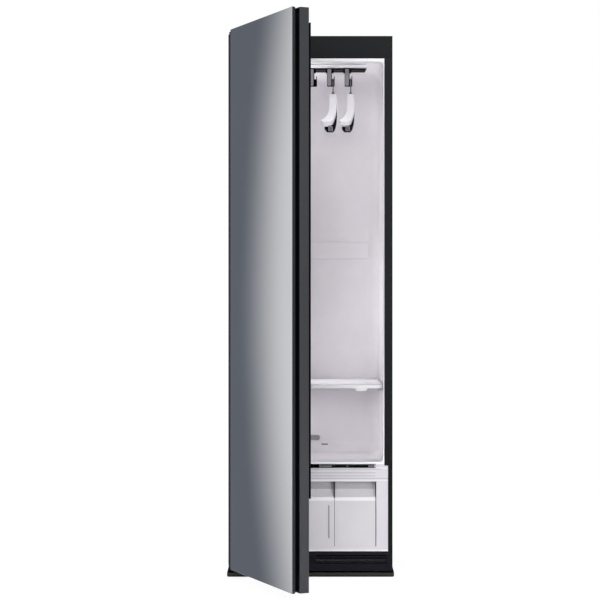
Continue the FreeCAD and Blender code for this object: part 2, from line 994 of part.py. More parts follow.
def rail_carriage():
    """Plate that runs in the guide and carries the rail's stems, with the crank's yoke slot."""
    piece = Piece("rail_carriage")
    reach = d.stem_spread + d.carriage_overhang
    near, far = rail_y_span(d.carriage_width)
    plate = rect(d.rail_centre - reach, d.rail_centre + reach, near, far)
    piece.pad("top", carriage_low, carriage_high, plate)
    pin = d.crank_pin_radius + 0.5
    long = d.carriage_width / 2 - 5
    yoke = rect(d.rail_centre - pin, d.rail_centre + pin, rail_y - long, rail_y + long)
    piece.cut("top", carriage_low, carriage_high, yoke)
    piece.bevel(4, straight("z", x=[d.rail_centre - reach, d.rail_centre + reach]))


def rail_guide():
    """Two grooved bars on the liner for the carriage, joined by the bracket over the crank."""
    piece = Piece("rail_guide", separate=True)
    reach = d.stem_spread + d.carriage_overhang + d.rail_stroke + 8
    clear = d.fit_gap
    edge = d.carriage_width / 2 + clear
    for side in (-1, 1):
        lip = rail_y + (edge - 4) * side
        groove = rail_y + edge * side
        outer = rail_y + (edge + d.guide_wall) * side
        outline = [
            (outer, liner_top),
            (lip, liner_top),
            (lip, carriage_low - clear),
            (groove, carriage_low - clear),
            (groove, carriage_high + clear),
            (lip, carriage_high + clear),
            (lip, carriage_high + clear + 4),
            (outer, carriage_high + clear + 4),
        ]
        piece.pad("side", d.rail_centre - reach, d.rail_centre + reach, outline)
    reach_x = 52
    reach_y = 46
    x = d.rail_centre
    for side in (-1, 1):
        outer = rail_y + reach_y * side
        for inner, top in ((edge + 1, liner_top + 5), (reach_y - 4, bracket_low)):
            inside = rail_y + inner * side
            low, high = (outer, inside) if side < 0 else (inside, outer)
            piece.pad("top", liner_top, top, rect(x - reach_x, x + reach_x, low, high))
    plate = rect(x - reach_x, x + reach_x, rail_y - reach_y, rail_y + reach_y)
    bore = Circle((x, rail_y), d.crank_shaft_radius + 4)
    piece.pad("top", bracket_low, bracket_low + d.bracket_plate, plate, bore)


def crank_disc():
    """Disc on the drive shaft, with the crank pin below it."""
    piece = Piece("crank_disc")
    low = carriage_high + 6
    high = low + d.crank_height
    piece.pad("top", low, high, Circle((0, 0), d.crank_radius))
    piece.pad("top", carriage_high + 0.6, low, Circle((d.crank_throw, 0), d.crank_pin_radius))
    piece.pad("top", high, high + 16, Circle((0, 0), d.crank_shaft_radius))
    piece.place(x=d.rail_centre, y=rail_y)


def rail_drive_motor():
    """Gear motor on top of the drive bracket."""
    plate_high = bracket_low + d.bracket_plate
    motor = Piece("rail_drive_motor")
    top = plate_high + d.motor_height
    motor.pad("top", plate_high, top, Circle((0, 0), d.motor_radius))
    gearbox = rect(-d.motor_radius, d.motor_radius * 1.6, -22, 22)
    motor.pad("top", plate_high, plate_high + 14, gearbox)
    shaft = Circle((0, 0), d.crank_shaft_radius + d.running_gap)
    motor.cut("top", plate_high, plate_high + 20, shaft)
    motor.bevel(3, level("z", top))
    motor.place(x=d.rail_centre, y=rail_y)


def hook_x(number):
    return d.rail_centre + d.hook_pitch * number


def hook_blocks():
    """Dark hook blocks clipped on the rail, each with a saddle to the right of its strap."""
    near, far = rail_y_span(d.rail_width)
    saddle_z = saddle_top - d.saddle_radius
    piece = Piece("hook_blocks", separate=True)
    for number in hook_offsets:
        x = hook_x(number)
        collar = d.hook_collar_width / 2
        strap = d.hook_strap_width / 2
        wall = 3
        low = rail_bottom - d.hook_drop
        piece.pad("front", near - wall, near, rect(x - collar, x + collar, rail_bottom, rail_top - 1))
        piece.pad("front", far, far + wall, rect(x - collar, x + collar, rail_bottom, rail_top - 1))
        under = rect(x - collar, x + collar, rail_bottom - wall, rail_bottom)
        piece.pad("front", near - wall, far + wall, under)
        web_near, web_far = rail_y_span(d.hook_web)
        arm_low = x + strap - 1
        neck = rect(x - strap, arm_low, low, rail_bottom - wall)
        piece.pad("front", near - wall, web_far, neck)
        notch = x + d.hook_reach
        arm_high = notch + d.hook_arm_width / 2
        arm = rect(arm_low, arm_high, low, saddle_z)
        piece.pad("front", web_near, web_far, arm)
        gap = d.hook_notch_width / 2
        saddle_near, saddle_far = rail_y_span(d.saddle_radius * 2)
        saddle = [
            (saddle_near, saddle_z),
            (saddle_far, saddle_z),
            Bend(d.saddle_radius, 1),
        ]
        piece.pad("side", arm_low, arm_high, saddle)
        prong = rect(notch + gap, arm_high, saddle_z, saddle_top + d.prong_height)
        piece.pad("front", saddle_near, saddle_far, prong)
        piece.round(4, straight("y", x=x - strap, z=low))
        piece.round(3, straight("y", x=arm_high, z=low))


def hook_straps():
    """Light front straps of the hook blocks."""
    straps = []
    near, _ = rail_y_span(d.rail_width)
    collar_near = near - 3
    low = rail_bottom - d.hook_drop + 2
    for count, number in enumerate(hook_offsets, 1):
        strap = member(
            "Box",
            f"hook_strap_{count}",
            x=hook_x(number) - d.hook_strap_width / 2 - d.hook_strap_clear,
            y=collar_near - 2,
            z=low,
            Length=d.hook_strap_width - d.hook_strap_clear,
            Width=2,
            Height=rail_top - 2 - low,
        )
        straps.append(strap)
    compound("hook_straps", straps)


# ---------------------------------------------------------------- hangers

HANGERS = ((1, 1), (2, 2))


def place_hanger(piece, number):
    piece.place(
        x=hook_x(number) + d.hook_reach,
        y=rail_y,
        z=saddle_top - d.saddle_radius,
        axis=(0, 0, -1),
        angle=d.hanger_turn,
    )


def hanger_plan(inset, short=0):
    """Outline from above: both arms widen from the neck and bend forward at their tips."""
    neck = d.hanger_neck_width / 2 - inset
    middle = d.hanger_neck_half_length
    straight_end = d.hanger_straight_length
    outer = d.hanger_tip_outer - inset
    inner = -d.hanger_tip_inner + inset
    corner = d.hanger_tip_corner
    end = d.hanger_half_length - short
    turned = end - corner
    across = -inner - neck
    along = turned - straight_end
    bow = (across * across + along * along) / (across * 2)
    flank = d.hanger_flank_radius
    return [
        (neck, -middle),
        (neck, middle),
        Bend(flank, 1),
        (outer, turned),
        Bend(corner, 1),
        (outer - corner, end),
        (inner + corner, end),
        Bend(corner, 1),
        (inner, turned),
        Bend(bow, -1),
        (-neck, straight_end),
        (-neck, -straight_end),
        Bend(bow, -1),
        (inner, -turned),
        Bend(corner, 1),
        (inner + corner, -end),
        (outer - corner, -end),
        Bend(corner, 1),
        (outer, -turned),
        Bend(flank, 1),
    ]


def shoulder_band(top, height):
    """Side view of a band of even height that falls from the neck to both shoulder tips."""
    neck = 16
    reach = d.hanger_half_length + 20
    crown = d.hanger_crown_radius
    tip_top = top + d.hanger_tip_drop
    return [
        (-neck, -top),
        Bend(crown, -1),
        (-reach, -tip_top),
        (-reach, -tip_top - height),
        Bend(crown, 1),
        (-neck, -top - height),
        (neck, -top - height),
        Bend(crown, 1),
        (reach, -tip_top - height),
        (reach, -tip_top),
        Bend(crown, -1),
        (neck, -top),
    ]


def shoulder(piece, top, height, plan):
    """A shoulder band trimmed to an outline seen from above."""
    wide = d.hanger_tip_inner + 10
    far = d.hanger_half_length + 30
    piece.pad("side", -wide, wide, shoulder_band(top, height))
    around = rect(-wide - 5, wide + 5, -far, far)
    piece.cut("top", -top - d.hanger_tip_drop - height - 5, -top + 5, around, plan)


def hangers():
    """Two contoured suit hangers: pale top shell, dark lower shell and a wire hook each."""
    for name, number in HANGERS:
        shell = Piece(f"hanger_{name}_shell")
        shoulder(shell, d.hanger_shell_top, d.hanger_shell_height, hanger_plan(0))
        place_hanger(shell, number)

        base = Piece(f"hanger_{name}_base")
        base_top = d.hanger_shell_top + d.hanger_shell_height
        plan = hanger_plan(d.hanger_base_inset, d.hanger_base_end)
        shoulder(base, base_top, d.hanger_base_height, plan)
        place_hanger(base, number)

        hook = Piece(f"hanger_{name}_hook")
        reach = d.saddle_radius + d.wire_gap + d.wire_radius
        leg = d.hook_leg
        swan = d.hook_swan_drop
        swan_bend = (reach * reach + swan * swan) / (reach * 4)
        path = [
            (-reach, -leg),
            (-reach, 0),
            Bend(reach, -1),
            (reach, 0),
            (reach, -leg),
            Bend(swan_bend, -1),
            (reach / 2, -leg - swan / 2),
            Bend(swan_bend, 1),
            (0, -leg - swan),
            (0, -d.hanger_shell_top),
        ]
        hook.pipe("side", 0, path, Circle((0, -reach), d.wire_radius))
        sleeve = rect(-3, 3, -reach - 3, -reach + 1.3)
        hook.pad("top", -leg - 2, -4, sleeve)
        wing = d.hanger_shell_top
        hook.revolve([(0, -wing), (9, -wing), (2.5, -wing + 8), (0, -wing + 8)])
        place_hanger(hook, number)


# ---------------------------------------------------------------- lower surround and kick grille


def lower_surround():
    """White moulded front below the chamber, with the intake slot and the opening of the bay."""
    piece = Piece("lower_surround")
    wide = half - d.low_stile_width - d.fit_gap
    narrow = chamber_half
    step = d.stile_step_level - d.fit_gap
    top = liner_underside
    low = d.kick_top + d.fit_gap
    notch = chamber_half - d.slot_inset
    corner = 5
    outline = [
        (-wide, low),
        (wide, low),
        (wide, step),
        (narrow, step),
        (narrow, top),
        (notch, top),
        (notch, d.slot_bottom + corner),
        Bend(corner, -1),
        (notch - corner, d.slot_bottom),
        (-notch + corner, d.slot_bottom),
        Bend(corner, -1),
        (-notch, d.slot_bottom + corner),
        (-notch, top),
        (-narrow, top),
        (-narrow, step),
        (-wide, step),
    ]
    opening = rect(-bay_half, bay_half, d.bay_bottom, d.bay_top)
    piece.pad("front", surround_front, surround_back, outline, opening)
    filter_guide(piece)
    for rib_level in (362.6, 371.6, 385.1):
        rib = rect(-notch, notch, rib_level - 1.2, rib_level + 1.2)
        piece.pad("front", front, surround_front, rib)
    seam = rect(-wide, wide, 350.2, 351.8)
    piece.cut("front", surround_front, surround_front + 1.5, seam)


def service_cover():
    """Clip-on cover to the left of the tanks, with a shallow rim behind it."""
    piece = Piece("service_cover")
    low_x = -bay_half + d.fit_gap
    high_x = cell_left - d.bay_wall - d.fit_gap
    low_z = d.bay_bottom + d.fit_gap
    high_z = d.bay_top - d.fit_gap
    piece.pad("front", surround_front, surround_front + 3, rect(low_x, high_x, low_z, high_z))
    rim = ring(low_x, high_x, low_z, high_z, 2.5)
    piece.pad("front", surround_front + 3, surround_front + 15, *rim)
    grip = slot(low_x + 55, high_x - 55, high_z - 16, 5)
    piece.cut("front", surround_front, surround_front + 1.2, grip)
    piece.round(1, level("y", surround_front))


def kick_grille():
    """Dark grille across the foot: slanted louvres and a round vent in the middle."""
    piece = Piece("kick_grille")
    near = front
    far = front + d.kick_depth
    low, high = d.kick_bottom, d.kick_top
    piece.pad("front", near, far, rect(-half, half, low, high))
    skin = near + d.kick_wall
    inner = rect(-half + 3, half - 3, low + 3, high - 3)
    piece.cut("front", skin, far, inner)
    gap = d.louvre_gap
    lean = 3
    level_up = d.louvre_level
    slit = [
        (near - 1, level_up),
        (skin + 1, level_up + lean),
        (skin + 1, level_up + lean + gap),
        (near - 1, level_up + gap),
    ]
    right = piece.cut("side", d.louvre_start, d.louvre_end, slit)
    piece.repeat(right, "z", d.louvre_pitch, 4, backwards=True)
    left = piece.cut("side", -d.louvre_end, -d.louvre_start, slit)
    piece.repeat(left, "z", d.louvre_pitch, 4, backwards=True)
    centre = (0, d.vent_level)
    for outer in (d.vent_radius, d.vent_radius - 5, d.vent_radius - 10):
        groove = [Circle(centre, outer), Circle(centre, outer - 2.4)]
        piece.cut("front", near, near + 2.5, *groove)
    piece.round(1.5, straight("z", x=[-half, half], y=near))


# ---------------------------------------------------------------- tanks and filter

cell_width = bay_half - d.bay_divider - d.bay_wall / 2
cell_right = d.bay_divider + d.bay_wall / 2
cell_left = d.bay_divider - d.bay_wall / 2 - cell_width
filter_low = d.slot_bottom + d.filter_lift
filter_right = chamber_half - d.filter_inset
filter_left = filter_right - d.filter_width


def tank_bay():
    """Moulded sleeve behind the surround with one cell for each tank."""
    piece = Piece("tank_bay")
    wall = d.bay_wall
    outer = rect(cell_left - wall, bay_half + wall, d.bay_bottom - wall, d.bay_top + wall)
    piece.pad("front", surround_back, bay_back, outer)
    for low in (cell_left, cell_right):
        cell = rect(low, low + cell_width, d.bay_bottom, d.bay_top)
        piece.cut("front", surround_back, bay_back - wall, cell)
        valve = Circle((low + cell_width / 2, d.bay_bottom + 40), 9)
        piece.cut("front", bay_back - wall, bay_back, valve)


def tank(name, low, window_x, lap_left, lap_right):
    """Pull-out tank: hollow body with a scooped lip, a groove for the level window, and a lid.

    Its front laps over the thin walls of the bay beside it, so that only a hairline gap shows."""
    wall = d.tank_wall
    left = low + (cell_width - d.tank_width) / 2
    right = left + d.tank_width
    near = surround_front
    far = near + d.tank_depth
    floor = d.bay_bottom + d.tank_floor_gap
    lid_low = d.bay_top - d.tank_lid_gap - d.tank_lid_sheet
    lip = d.tank_lip_level
    lip_end = near + 10
    grip = near + d.tank_grip_depth
    brow = d.bay_top - d.tank_brow_height
    outline = [
        (near, floor),
        (far, floor),
        (far, lid_low),
        (grip, lid_low),
        (grip, brow),
        (lip_end + 1, lip - 4),
        (lip_end, lip),
        Bend(5, 1),
        (near, lip),
    ]
    body = Piece(name)
    body.pad("side", left, right, outline)
    body.round(5, straight("z", x=[left, right], y=far))
    hollow = [
        (near + wall, floor + wall),
        (far - wall, floor + wall),
        (far - wall, lid_low),
        (grip + wall, lid_low),
        (grip + wall, brow - 1),
        (lip_end + 1 + wall, lip - 5 - wall),
        (near + wall, lip - 5 - wall),
    ]
    body.cut("side", left + wall, right - wall, hollow)
    face = rect(left - lap_left, right + lap_right, floor, lip)
    body.pad("front", near, near + d.tank_lap_sheet, face)
    pane_low = window_x - d.window_width / 2
    pane = rect(pane_low, pane_low + d.window_width, d.window_bottom, d.window_top)
    body.cut("front", near, near + d.window_depth, pane)

    lid = Piece(f"{name}_lid")
    mouth = Circle((left + d.tank_width / 2, (grip + far) / 2), 24)
    lid.pad("top", lid_low, lid_low + d.tank_lid_sheet, rect(left, right, grip, far), mouth)
    lid.round(5, straight("z", x=[left, right], y=far))


def tanks():
    lap = d.tank_lap
    tank("water_tank", cell_left, cell_left + cell_width - 19.3, lap, lap)
    tank("drain_tank", cell_right, cell_right + 11.1, lap, 0)


def lint_filter():
    """Flat filter cartridge in the intake slot: a frame with finger tabs and a thin web."""
    left, right = filter_left, filter_right
    near = surround_front
    far = near + d.filter_depth
    low = filter_low
    high = low + d.filter_height
    frame = Piece("lint_filter")
    bar = d.filter_bar
    frame.pad("top", low, high, *ring(left, right, near, far, bar))
    middle = left + d.filter_width / 2
    frame.pad("top", low, high, rect(middle - 2, middle + 2, near + bar, far - bar))
    for tab_low, tab_high in ((left + 2, left + 40), (middle - 2, middle + 2), (right - 21, right - 2)):
        frame.pad("top", low + 2, high - 2, rect(tab_low, tab_high, front - 0.5, near))

    inset = bar - 1
    web = rect(left + inset, right - inset, near + inset, far - inset)
    frame.pad("top", low + 3, low + 4, web)


def filter_guide(piece):
    """Sleeve behind the intake slot in which the filter cartridge slides."""
    low = filter_low - d.fit_gap
    high = filter_low + d.filter_height + d.fit_gap
    left = filter_left - d.fit_gap
    right = filter_right + d.fit_gap
    far = surround_front + d.filter_depth
    wall = 3
    outer = rect(left - wall, right + wall, low - wall, liner_underside)
    piece.pad("front", surround_back, far + 12, outer)
    piece.cut("front", surround_front, far + 1, rect(left, right, low, high))
    throat = rect(left + 16, right - 16, surround_back + 18, far - 14)
    piece.cut("top", low - wall, low, throat)


# ---------------------------------------------------------------- door


def place_on_hinge(piece):
    """Turn a piece drawn for the shut door to where the door stands open."""
    piece.place(x=hinge_x, y=hinge_y, axis=(0, 0, -1), angle=d.door_open_angle)
    return piece


door_front = -d.door_face
door_top = d.body_height + d.door_over
gasket_top = door_top - d.gasket_head
glass_back = door_front + d.glass_sheet
panel_back = door_front + d.panel_depth
grip_back = panel_back + d.grip_depth
door_back = grip_back + d.liner_depth
trim_low = d.door_bottom + d.notch_height
trim_high = d.body_height - d.bracket_gap


def notched(left, right, low, high):
    """A door layer's outline with both hinge corners cut away for the bracket arms."""
    return [
        (d.notch_reach, low),
        (right, low),
        (right, high),
        (d.notch_reach, high),
        (d.notch_reach, trim_high),
        (left, trim_high),
        (left, trim_low),
        (d.notch_reach, trim_low),
    ]


def door_glass():
    piece = Piece("door_glass")
    sheet = rect(d.glass_left, d.glass_right, d.door_bottom, door_top)
    piece.pad("front", door_front, glass_back, sheet)
    corners = straight("y", x=[d.glass_left, d.glass_right], z=[d.door_bottom, door_top])
    piece.round(4, corners)
    piece.bevel(0.8, level("y", door_front))
    place_on_hinge(piece)


def door_panel():
    """Backing panel of the glass, bevelled towards the back along its free edge."""
    piece = Piece("door_panel")
    sheet = rect(d.glass_left, d.door_right, d.door_bottom, door_top)
    piece.pad("front", glass_back, panel_back, sheet)
    corners = straight("y", x=[d.glass_left, d.door_right], z=[d.door_bottom, door_top])
    piece.round(4, corners)
    piece.bevel(4, straight("z", x=d.door_right, y=panel_back))
    rim = d.panel_rim
    hollow = rect(
        d.glass_left + rim,
        d.door_right - rim,
        d.door_bottom + rim,
        door_top - rim,
    )
    piece.cut("front", glass_back + d.moulding_wall, panel_back, hollow)
    place_on_hinge(piece)


def door_hinge_trim():
    """Narrow strip beside the glass; its ends hold the hinge bushes."""
    piece = Piece("door_hinge_trim")
    strip = rect(-d.door_left, d.glass_left - d.fit_gap, trim_low, trim_high)
    piece.pad("front", door_front, panel_back, strip)
    seat = Circle((0, 0), d.bush_radius)
    piece.cut("top", trim_high - d.bush_length, trim_high, seat)
    piece.cut("top", trim_low, trim_low + d.bush_length, seat)
    piece.round(2, straight("z", x=-d.door_left, y=door_front))
    place_on_hinge(piece)


CORE_FIELDS = 4


def door_core():
    """Spacer between panel and liner; it stands back all round, which leaves the grip channel."""
    piece = Piece("door_core")
    outline = notched(
        -d.door_left + 5,
        d.door_right - d.grip_reach,
        d.door_bottom + d.grip_edge,
        door_top - d.grip_edge,
    )
    piece.pad("front", panel_back, grip_back, outline)
    bar = d.core_bar
    left = d.notch_reach + bar
    right = d.door_right - d.grip_reach - bar
    low = d.door_bottom + d.grip_edge + bar
    field = (door_top - d.grip_edge - low) / CORE_FIELDS
    for number in range(CORE_FIELDS):
        start = low + field * number
        window = rect(left, right, start, start + field - bar)
        piece.cut("front", panel_back, grip_back, window)
    place_on_hinge(piece)


def door_liner():
    """Moulded inner door with a raised middle field."""
    piece = Piece("door_liner")
    right = d.door_right - 1
    outline = notched(-d.door_left + 0.5, right, d.door_bottom, door_top)
    piece.pad("front", grip_back, door_back, outline)
    piece.round(3, straight("z", x=right, y=[grip_back, door_back]))
    low = d.gasket_bottom + d.gasket_width + 8
    high = gasket_top - d.gasket_width - 8
    left = d.gasket_left + d.gasket_width + 16
    field = rect(left, d.gasket_right - d.gasket_width - 8, low, high)
    piece.cut("front", door_back - d.liner_recess, door_back + 1, field)
    corners = straight("y", x=[left, d.gasket_right - d.gasket_width - 8], z=[low, high])
    piece.round(24, corners)
    wall = d.moulding_wall
    hollow = rect(
        d.notch_reach + wall,
        right - wall,
        d.door_bottom + wall,
        door_top - wall,
    )
    piece.cut("front", grip_back, door_back - d.liner_recess - wall, hollow)
    place_on_hinge(piece)


def door_gasket():
    """Soft seal ring that meets the front frame round the chamber's opening."""
    piece = Piece("door_gasket")
    depth = hinge_gap - d.fit_gap
    loops = ring(d.gasket_left, d.gasket_right, d.gasket_bottom, gasket_top, d.gasket_width)
    piece.pad("front", door_back, door_back + depth, *loops)
    inner_x = [d.gasket_left + d.gasket_width, d.gasket_right - d.gasket_width]
    inner_z = [d.gasket_bottom + d.gasket_width, gasket_top - d.gasket_width]
    piece.round(8, straight("y", x=inner_x, z=inner_z))
    outer = straight("y", x=[d.gasket_left, d.gasket_right], z=[d.gasket_bottom, gasket_top])
    piece.round(18, outer)
    place_on_hinge(piece)


hinge_gap = d.hinge_front - door_back


def hinge_bushes():
    """Flanged bushes pressed in the trim's ends; the flanges take the bracket arms."""
    inner = d.hinge_pin_radius + d.running_gap
    outer = d.bush_radius
    flange = outer + 1.8
    clear = d.fit_gap
    rise = d.bracket_gap - clear
    piece = Piece("hinge_bushes", separate=True)
    for seat, way in ((trim_high, 1), (trim_low, -1)):
        profile = [
            (inner, seat - d.bush_length * way),
            (outer, seat - d.bush_length * way),
            (outer, seat),
            (flange, seat),
            (flange, seat + rise * way),
            (inner, seat + rise * way),
        ]
        piece.revolve(profile)
    place_on_hinge(piece)


def hinge_brackets():
    """Bent plates on the cabinet; the pin riveted in each arm reaches over or under the door."""
    arm = d.bracket_arm_width / 2
    shank = d.hinge_pin_radius
    head = shank + 2.4
    wall = d.hinge_front
    upper = Piece("hinge_bracket_upper")
    low = d.body_height
    high = low + d.bracket_sheet
    wing = arm + 34
    outline = [
        (arm, 0),
        (arm, wall),
        (wing, wall + 8),
        (wing, wall + 70),
        (-arm, wall + 70),
        (-arm, 0),
        Bend(arm, 1),
    ]
    upper.pad("top", low, high, outline)
    tip = trim_high - d.bush_length + 1
    upper.revolve([(0, tip), (shank, tip), (shank, low), (0, low)])
    upper.pad("top", high, high + 2, Circle((0, 0), head))
    upper.place(x=hinge_x, y=hinge_y)

    lower = Piece("hinge_bracket_lower")
    high = trim_low - d.bracket_gap
    low = high - d.bracket_sheet
    reach = [(arm, 0), (arm, wall), (-arm, wall), (-arm, 0), Bend(arm, 1)]
    lower.pad("top", low, high, reach)
    stile = -half + d.low_stile_width - hinge_x
    flange = rect(-arm, stile, low, low + 110)
    lower.pad("front", wall - d.bracket_flange, wall, flange)
    lower.round(3, straight("y", x=[-arm, stile], z=low + 110))
    tip = trim_low + d.bush_length - 1
    lower.revolve([(0, high), (shank, high), (shank, tip), (0, tip)])
    lower.pad("top", low - 2, low, Circle((0, 0), head))
    lower.place(x=hinge_x, y=hinge_y)


# ---------------------------------------------------------------- machinery

COMPRESSOR_AT = (-160, 130)
EXCHANGER_AT = (-30, 168)
BLOWER_AT = (100, 118)


def compressor():
    """Rolling-piston compressor on a foot plate with four short feet."""
    piece = Piece("compressor")
    shell = d.compressor_radius
    tall = d.compressor_height
    profile = [
        (0, 0),
        (shell - 22, 0),
        Bend(22, 1),
        (shell, 22),
        (shell, tall / 2),
        (shell + 3, tall / 2),
        (shell + 3, tall / 2 + 5),
        (shell, tall / 2 + 5),
        (shell, tall - 34),
        Bend(34, 1),
        (shell - 34, tall),
        (0, tall),
    ]
    piece.revolve(profile)
    bore = shell - 12
    piece.revolve([(0, 14), (bore, 14), (bore, tall - 46), (0, tall - 46)], cut=True)
    reach = shell + 6
    piece.pad("top", -3, 0, rect(-reach, reach, -reach, reach))
    piece.pad("top", tall, tall + 18, Circle((30, 0), 5))
    foot = reach - 14
    feet = [Circle((foot * side, foot * end), 11) for side, end in FOOT_PLACES]
    piece.pad("top", -3 - d.grommet_height, -3, *feet)
    x, y = COMPRESSOR_AT
    piece.place(x=x, y=y, z=pan_floor + d.grommet_height + 3)


def heat_exchanger():
    """Finned block of the heat pump: slots cut from both faces leave the fins on a core."""
    piece = Piece("heat_exchanger")
    wide, deep, tall = d.exchanger_width, d.exchanger_depth, d.exchanger_height
    piece.pad("top", 0, tall, rect(0, wide, 0, deep))
    core = 8
    margin = 10
    for near, far in ((0, deep / 2 - core), (deep / 2 + core, deep)):
        gap = piece.cut("top", margin, tall - margin, rect(margin, margin + d.fin_gap, near, far))
        piece.repeat(gap, "x", d.fin_pitch, 24)
    x, y = EXCHANGER_AT
    piece.place(x=x, y=y, z=pan_floor)


def blower():
    """Spiral housing over the heat exchanger with its wheel, motor and inlet duct."""
    x, y = BLOWER_AT
    wall = 3
    low = 0
    high = d.blower_height
    shell = d.blower_radius
    spout_low = shell - 52
    spout_end = liner_back - y - 6
    housing = Piece("blower_housing")
    housing.pad("top", low, high, Circle((0, 0), shell))
    housing.pad("top", low, high, rect(spout_low, shell, 0, spout_end))
    housing.cut("top", low + wall, high - wall, Circle((0, 0), shell - wall))
    housing.cut("front", 0, spout_end, rect(spout_low + wall, shell - wall, low + wall, high - wall))
    housing.cut("top", low, low + wall, Circle((0, 0), 12))
    housing.cut("top", high - wall, high, Circle((0, 0), 44))
    near = EXCHANGER_AT[1] + 2 - y
    neck = ring(-30, 30, near, near + 30, wall)
    housing.pad("top", pan_floor + d.exchanger_height - d.blower_level, low, *neck)
    housing.place(x=x, y=y, z=d.blower_level)

    motor = Piece("blower_motor")
    body = 34
    motor.pad("top", -36, 0, Circle((0, 0), body))
    motor.pad("top", 0, wall + 34, Circle((0, 0), 4))
    motor.bevel(4, level("z", -36))
    motor.place(x=x, y=y, z=d.blower_level)

    wheel = Piece("blower_wheel")
    disc = d.wheel_radius
    tall = d.wheel_height
    bore = 4 + d.running_gap
    wheel.revolve([(bore, 0), (disc, 0), (disc, 2.5), (12, 2.5), (10, 24), (bore, 24)])
    blade_outline = [(disc - 15, -3), (disc - 1, -9), (disc - 0.6, -6.6), (disc - 15, 0)]
    blade = wheel.pad("top", 1, tall, blade_outline)
    wheel.repeat_round(blade, int(DIMENSIONS["wheel_blades"]))
    ring_band = [Circle((0, 0), disc), Circle((0, 0), disc - 4)]
    wheel.pad("top", tall - 4, tall, *ring_band)
    wheel.place(x=x, y=y, z=d.blower_level + wall + 6)



def steam_system():
    """Steam generator, its hose to the outlet, and the feed pump."""
    low = pan_floor
    generator = Piece("steam_generator")
    wide, deep, tall = d.generator_width, d.generator_depth, d.generator_height
    left = -wide / 2 - 15
    near = -30
    generator.pad("top", low, low + tall, rect(left, left + wide, near, near + deep))
    generator.round(9, straight("z", x=[left, left + wide], y=[near, near + deep]))
    flange = rect(left - 5, left + wide + 5, near - 5, near + deep + 5)
    generator.pad("top", low + tall / 2, low + tall / 2 + 6, flange)
    nozzle_y = near + deep / 2
    top = low + tall
    generator.bevel(4, level("z", top))
    generator.pad("top", top, top + 16, Circle((0, nozzle_y), d.spigot_radius))

    hose = Piece("steam_hose")
    bend = d.hose_bend
    rise = d.hose_level
    rear = liner_back + 30
    path = [
        (nozzle_y, top + 0.3),
        (nozzle_y, rise - bend),
        Bend(bend, -1),
        (nozzle_y + bend, rise),
        (rear - bend, rise),
        Bend(bend, 1),
        (rear, rise + bend),
        (rear, outlet_z - bend / 2),
        Bend(bend / 2, 1),
        (rear - bend / 2, outlet_z),
        (liner_back + 0.5, outlet_z),
    ]
    bore = d.spigot_radius + 0.2
    rings = [Circle((0, nozzle_y), d.hose_radius), Circle((0, nozzle_y), bore)]
    hose.pipe("side", 0, path, *rings)

    pump = Piece("water_pump")
    pump.pad("top", low, low + 44, rect(90, 140, -30, 14))
    pump.pad("top", low + 44, low + 70, Circle((115, -8), 18))
    pump.pad("front", 14, 32, Circle((115, low + 20), 5))
    pump.round(4, straight("z", x=[90, 140], y=[-30, 14]))


def control_board():
    """Circuit board on four posts over the chamber."""
    piece = Piece("control_board")
    left, right, near, far = 96, 236, 70, 190
    plate = liner_top + 10
    piece.pad("top", plate, plate + 1.6, rect(left, right, near, far))
    posts = [
        Circle((x, y), 4) for x in (left + 8, right - 8) for y in (near + 8, far - 8)
    ]
    piece.pad("top", liner_top, plate, *posts)
    piece.pad("top", plate + 1.6, plate + 22, rect(left + 20, left + 52, near + 20, near + 60))
    cans = [Circle((right - 30, near + 24 + 18 * n), 7) for n in range(3)]
    piece.pad("top", plate + 1.6, plate + 26, *cans)


# ---------------------------------------------------------------- build and write

BUILDERS = (
    base_frame,
    foot_covers,
    levelling_feet,
    base_pan,
    side_panels,
    top_panel,
    back_panels,
    front_frame,
    inner_liner,
    opening_trim,
    ceiling_fittings,
    wall_fittings,
    shelf,
    hanger_rail,
    rail_carriage,
    rail_guide,
    crank_disc,
    rail_drive_motor,
    hook_blocks,
    hook_straps,
    hangers,
    lower_surround,
    service_cover,
    kick_grille,
    tank_bay,
    tanks,
    lint_filter,
    door_glass,
    door_panel,
    door_hinge_trim,
    door_core,
    door_liner,
    door_gasket,
    hinge_bushes,
    hinge_brackets,
    compressor,
    heat_exchanger,
    blower,
    steam_system,
    control_board,
)


def check():
    """Stop if any feature failed or any piece has no valid shape."""
    for item in doc.Objects:
        if "Invalid" in item.State or "Error" in item.State:
            raise ValueError(f"{item.Name} failed: {item.State}")
    for piece in PARTS:
        if piece.Shape.isNull() or not piece.Shape.isValid() or not piece.Shape.Solids:
            raise ValueError(f"{piece.Label} has no valid shape")


def write():
    os.makedirs("parts", exist_ok=True)
    for piece in PARTS:
        piece.Shape.exportStep(f"parts/{piece.Label}.step")


for builder in BUILDERS:
    builder()
doc.recompute()
check()
write()
print(f"{len(PARTS)} pieces written")
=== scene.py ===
"""Steam cabinet for the care of clothes: finishes, small pieces, stage, lights and camera.

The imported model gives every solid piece; this script gives each one its finish and adds the pieces
that are too small or too soft for it. Lengths are in metres, in the model's own frame: x to the
right, y away from the viewer and z up.
"""

import json
import math

import bmesh
import bpy
from mathutils import Matrix, Vector
from mathutils.bvhtree import BVHTree

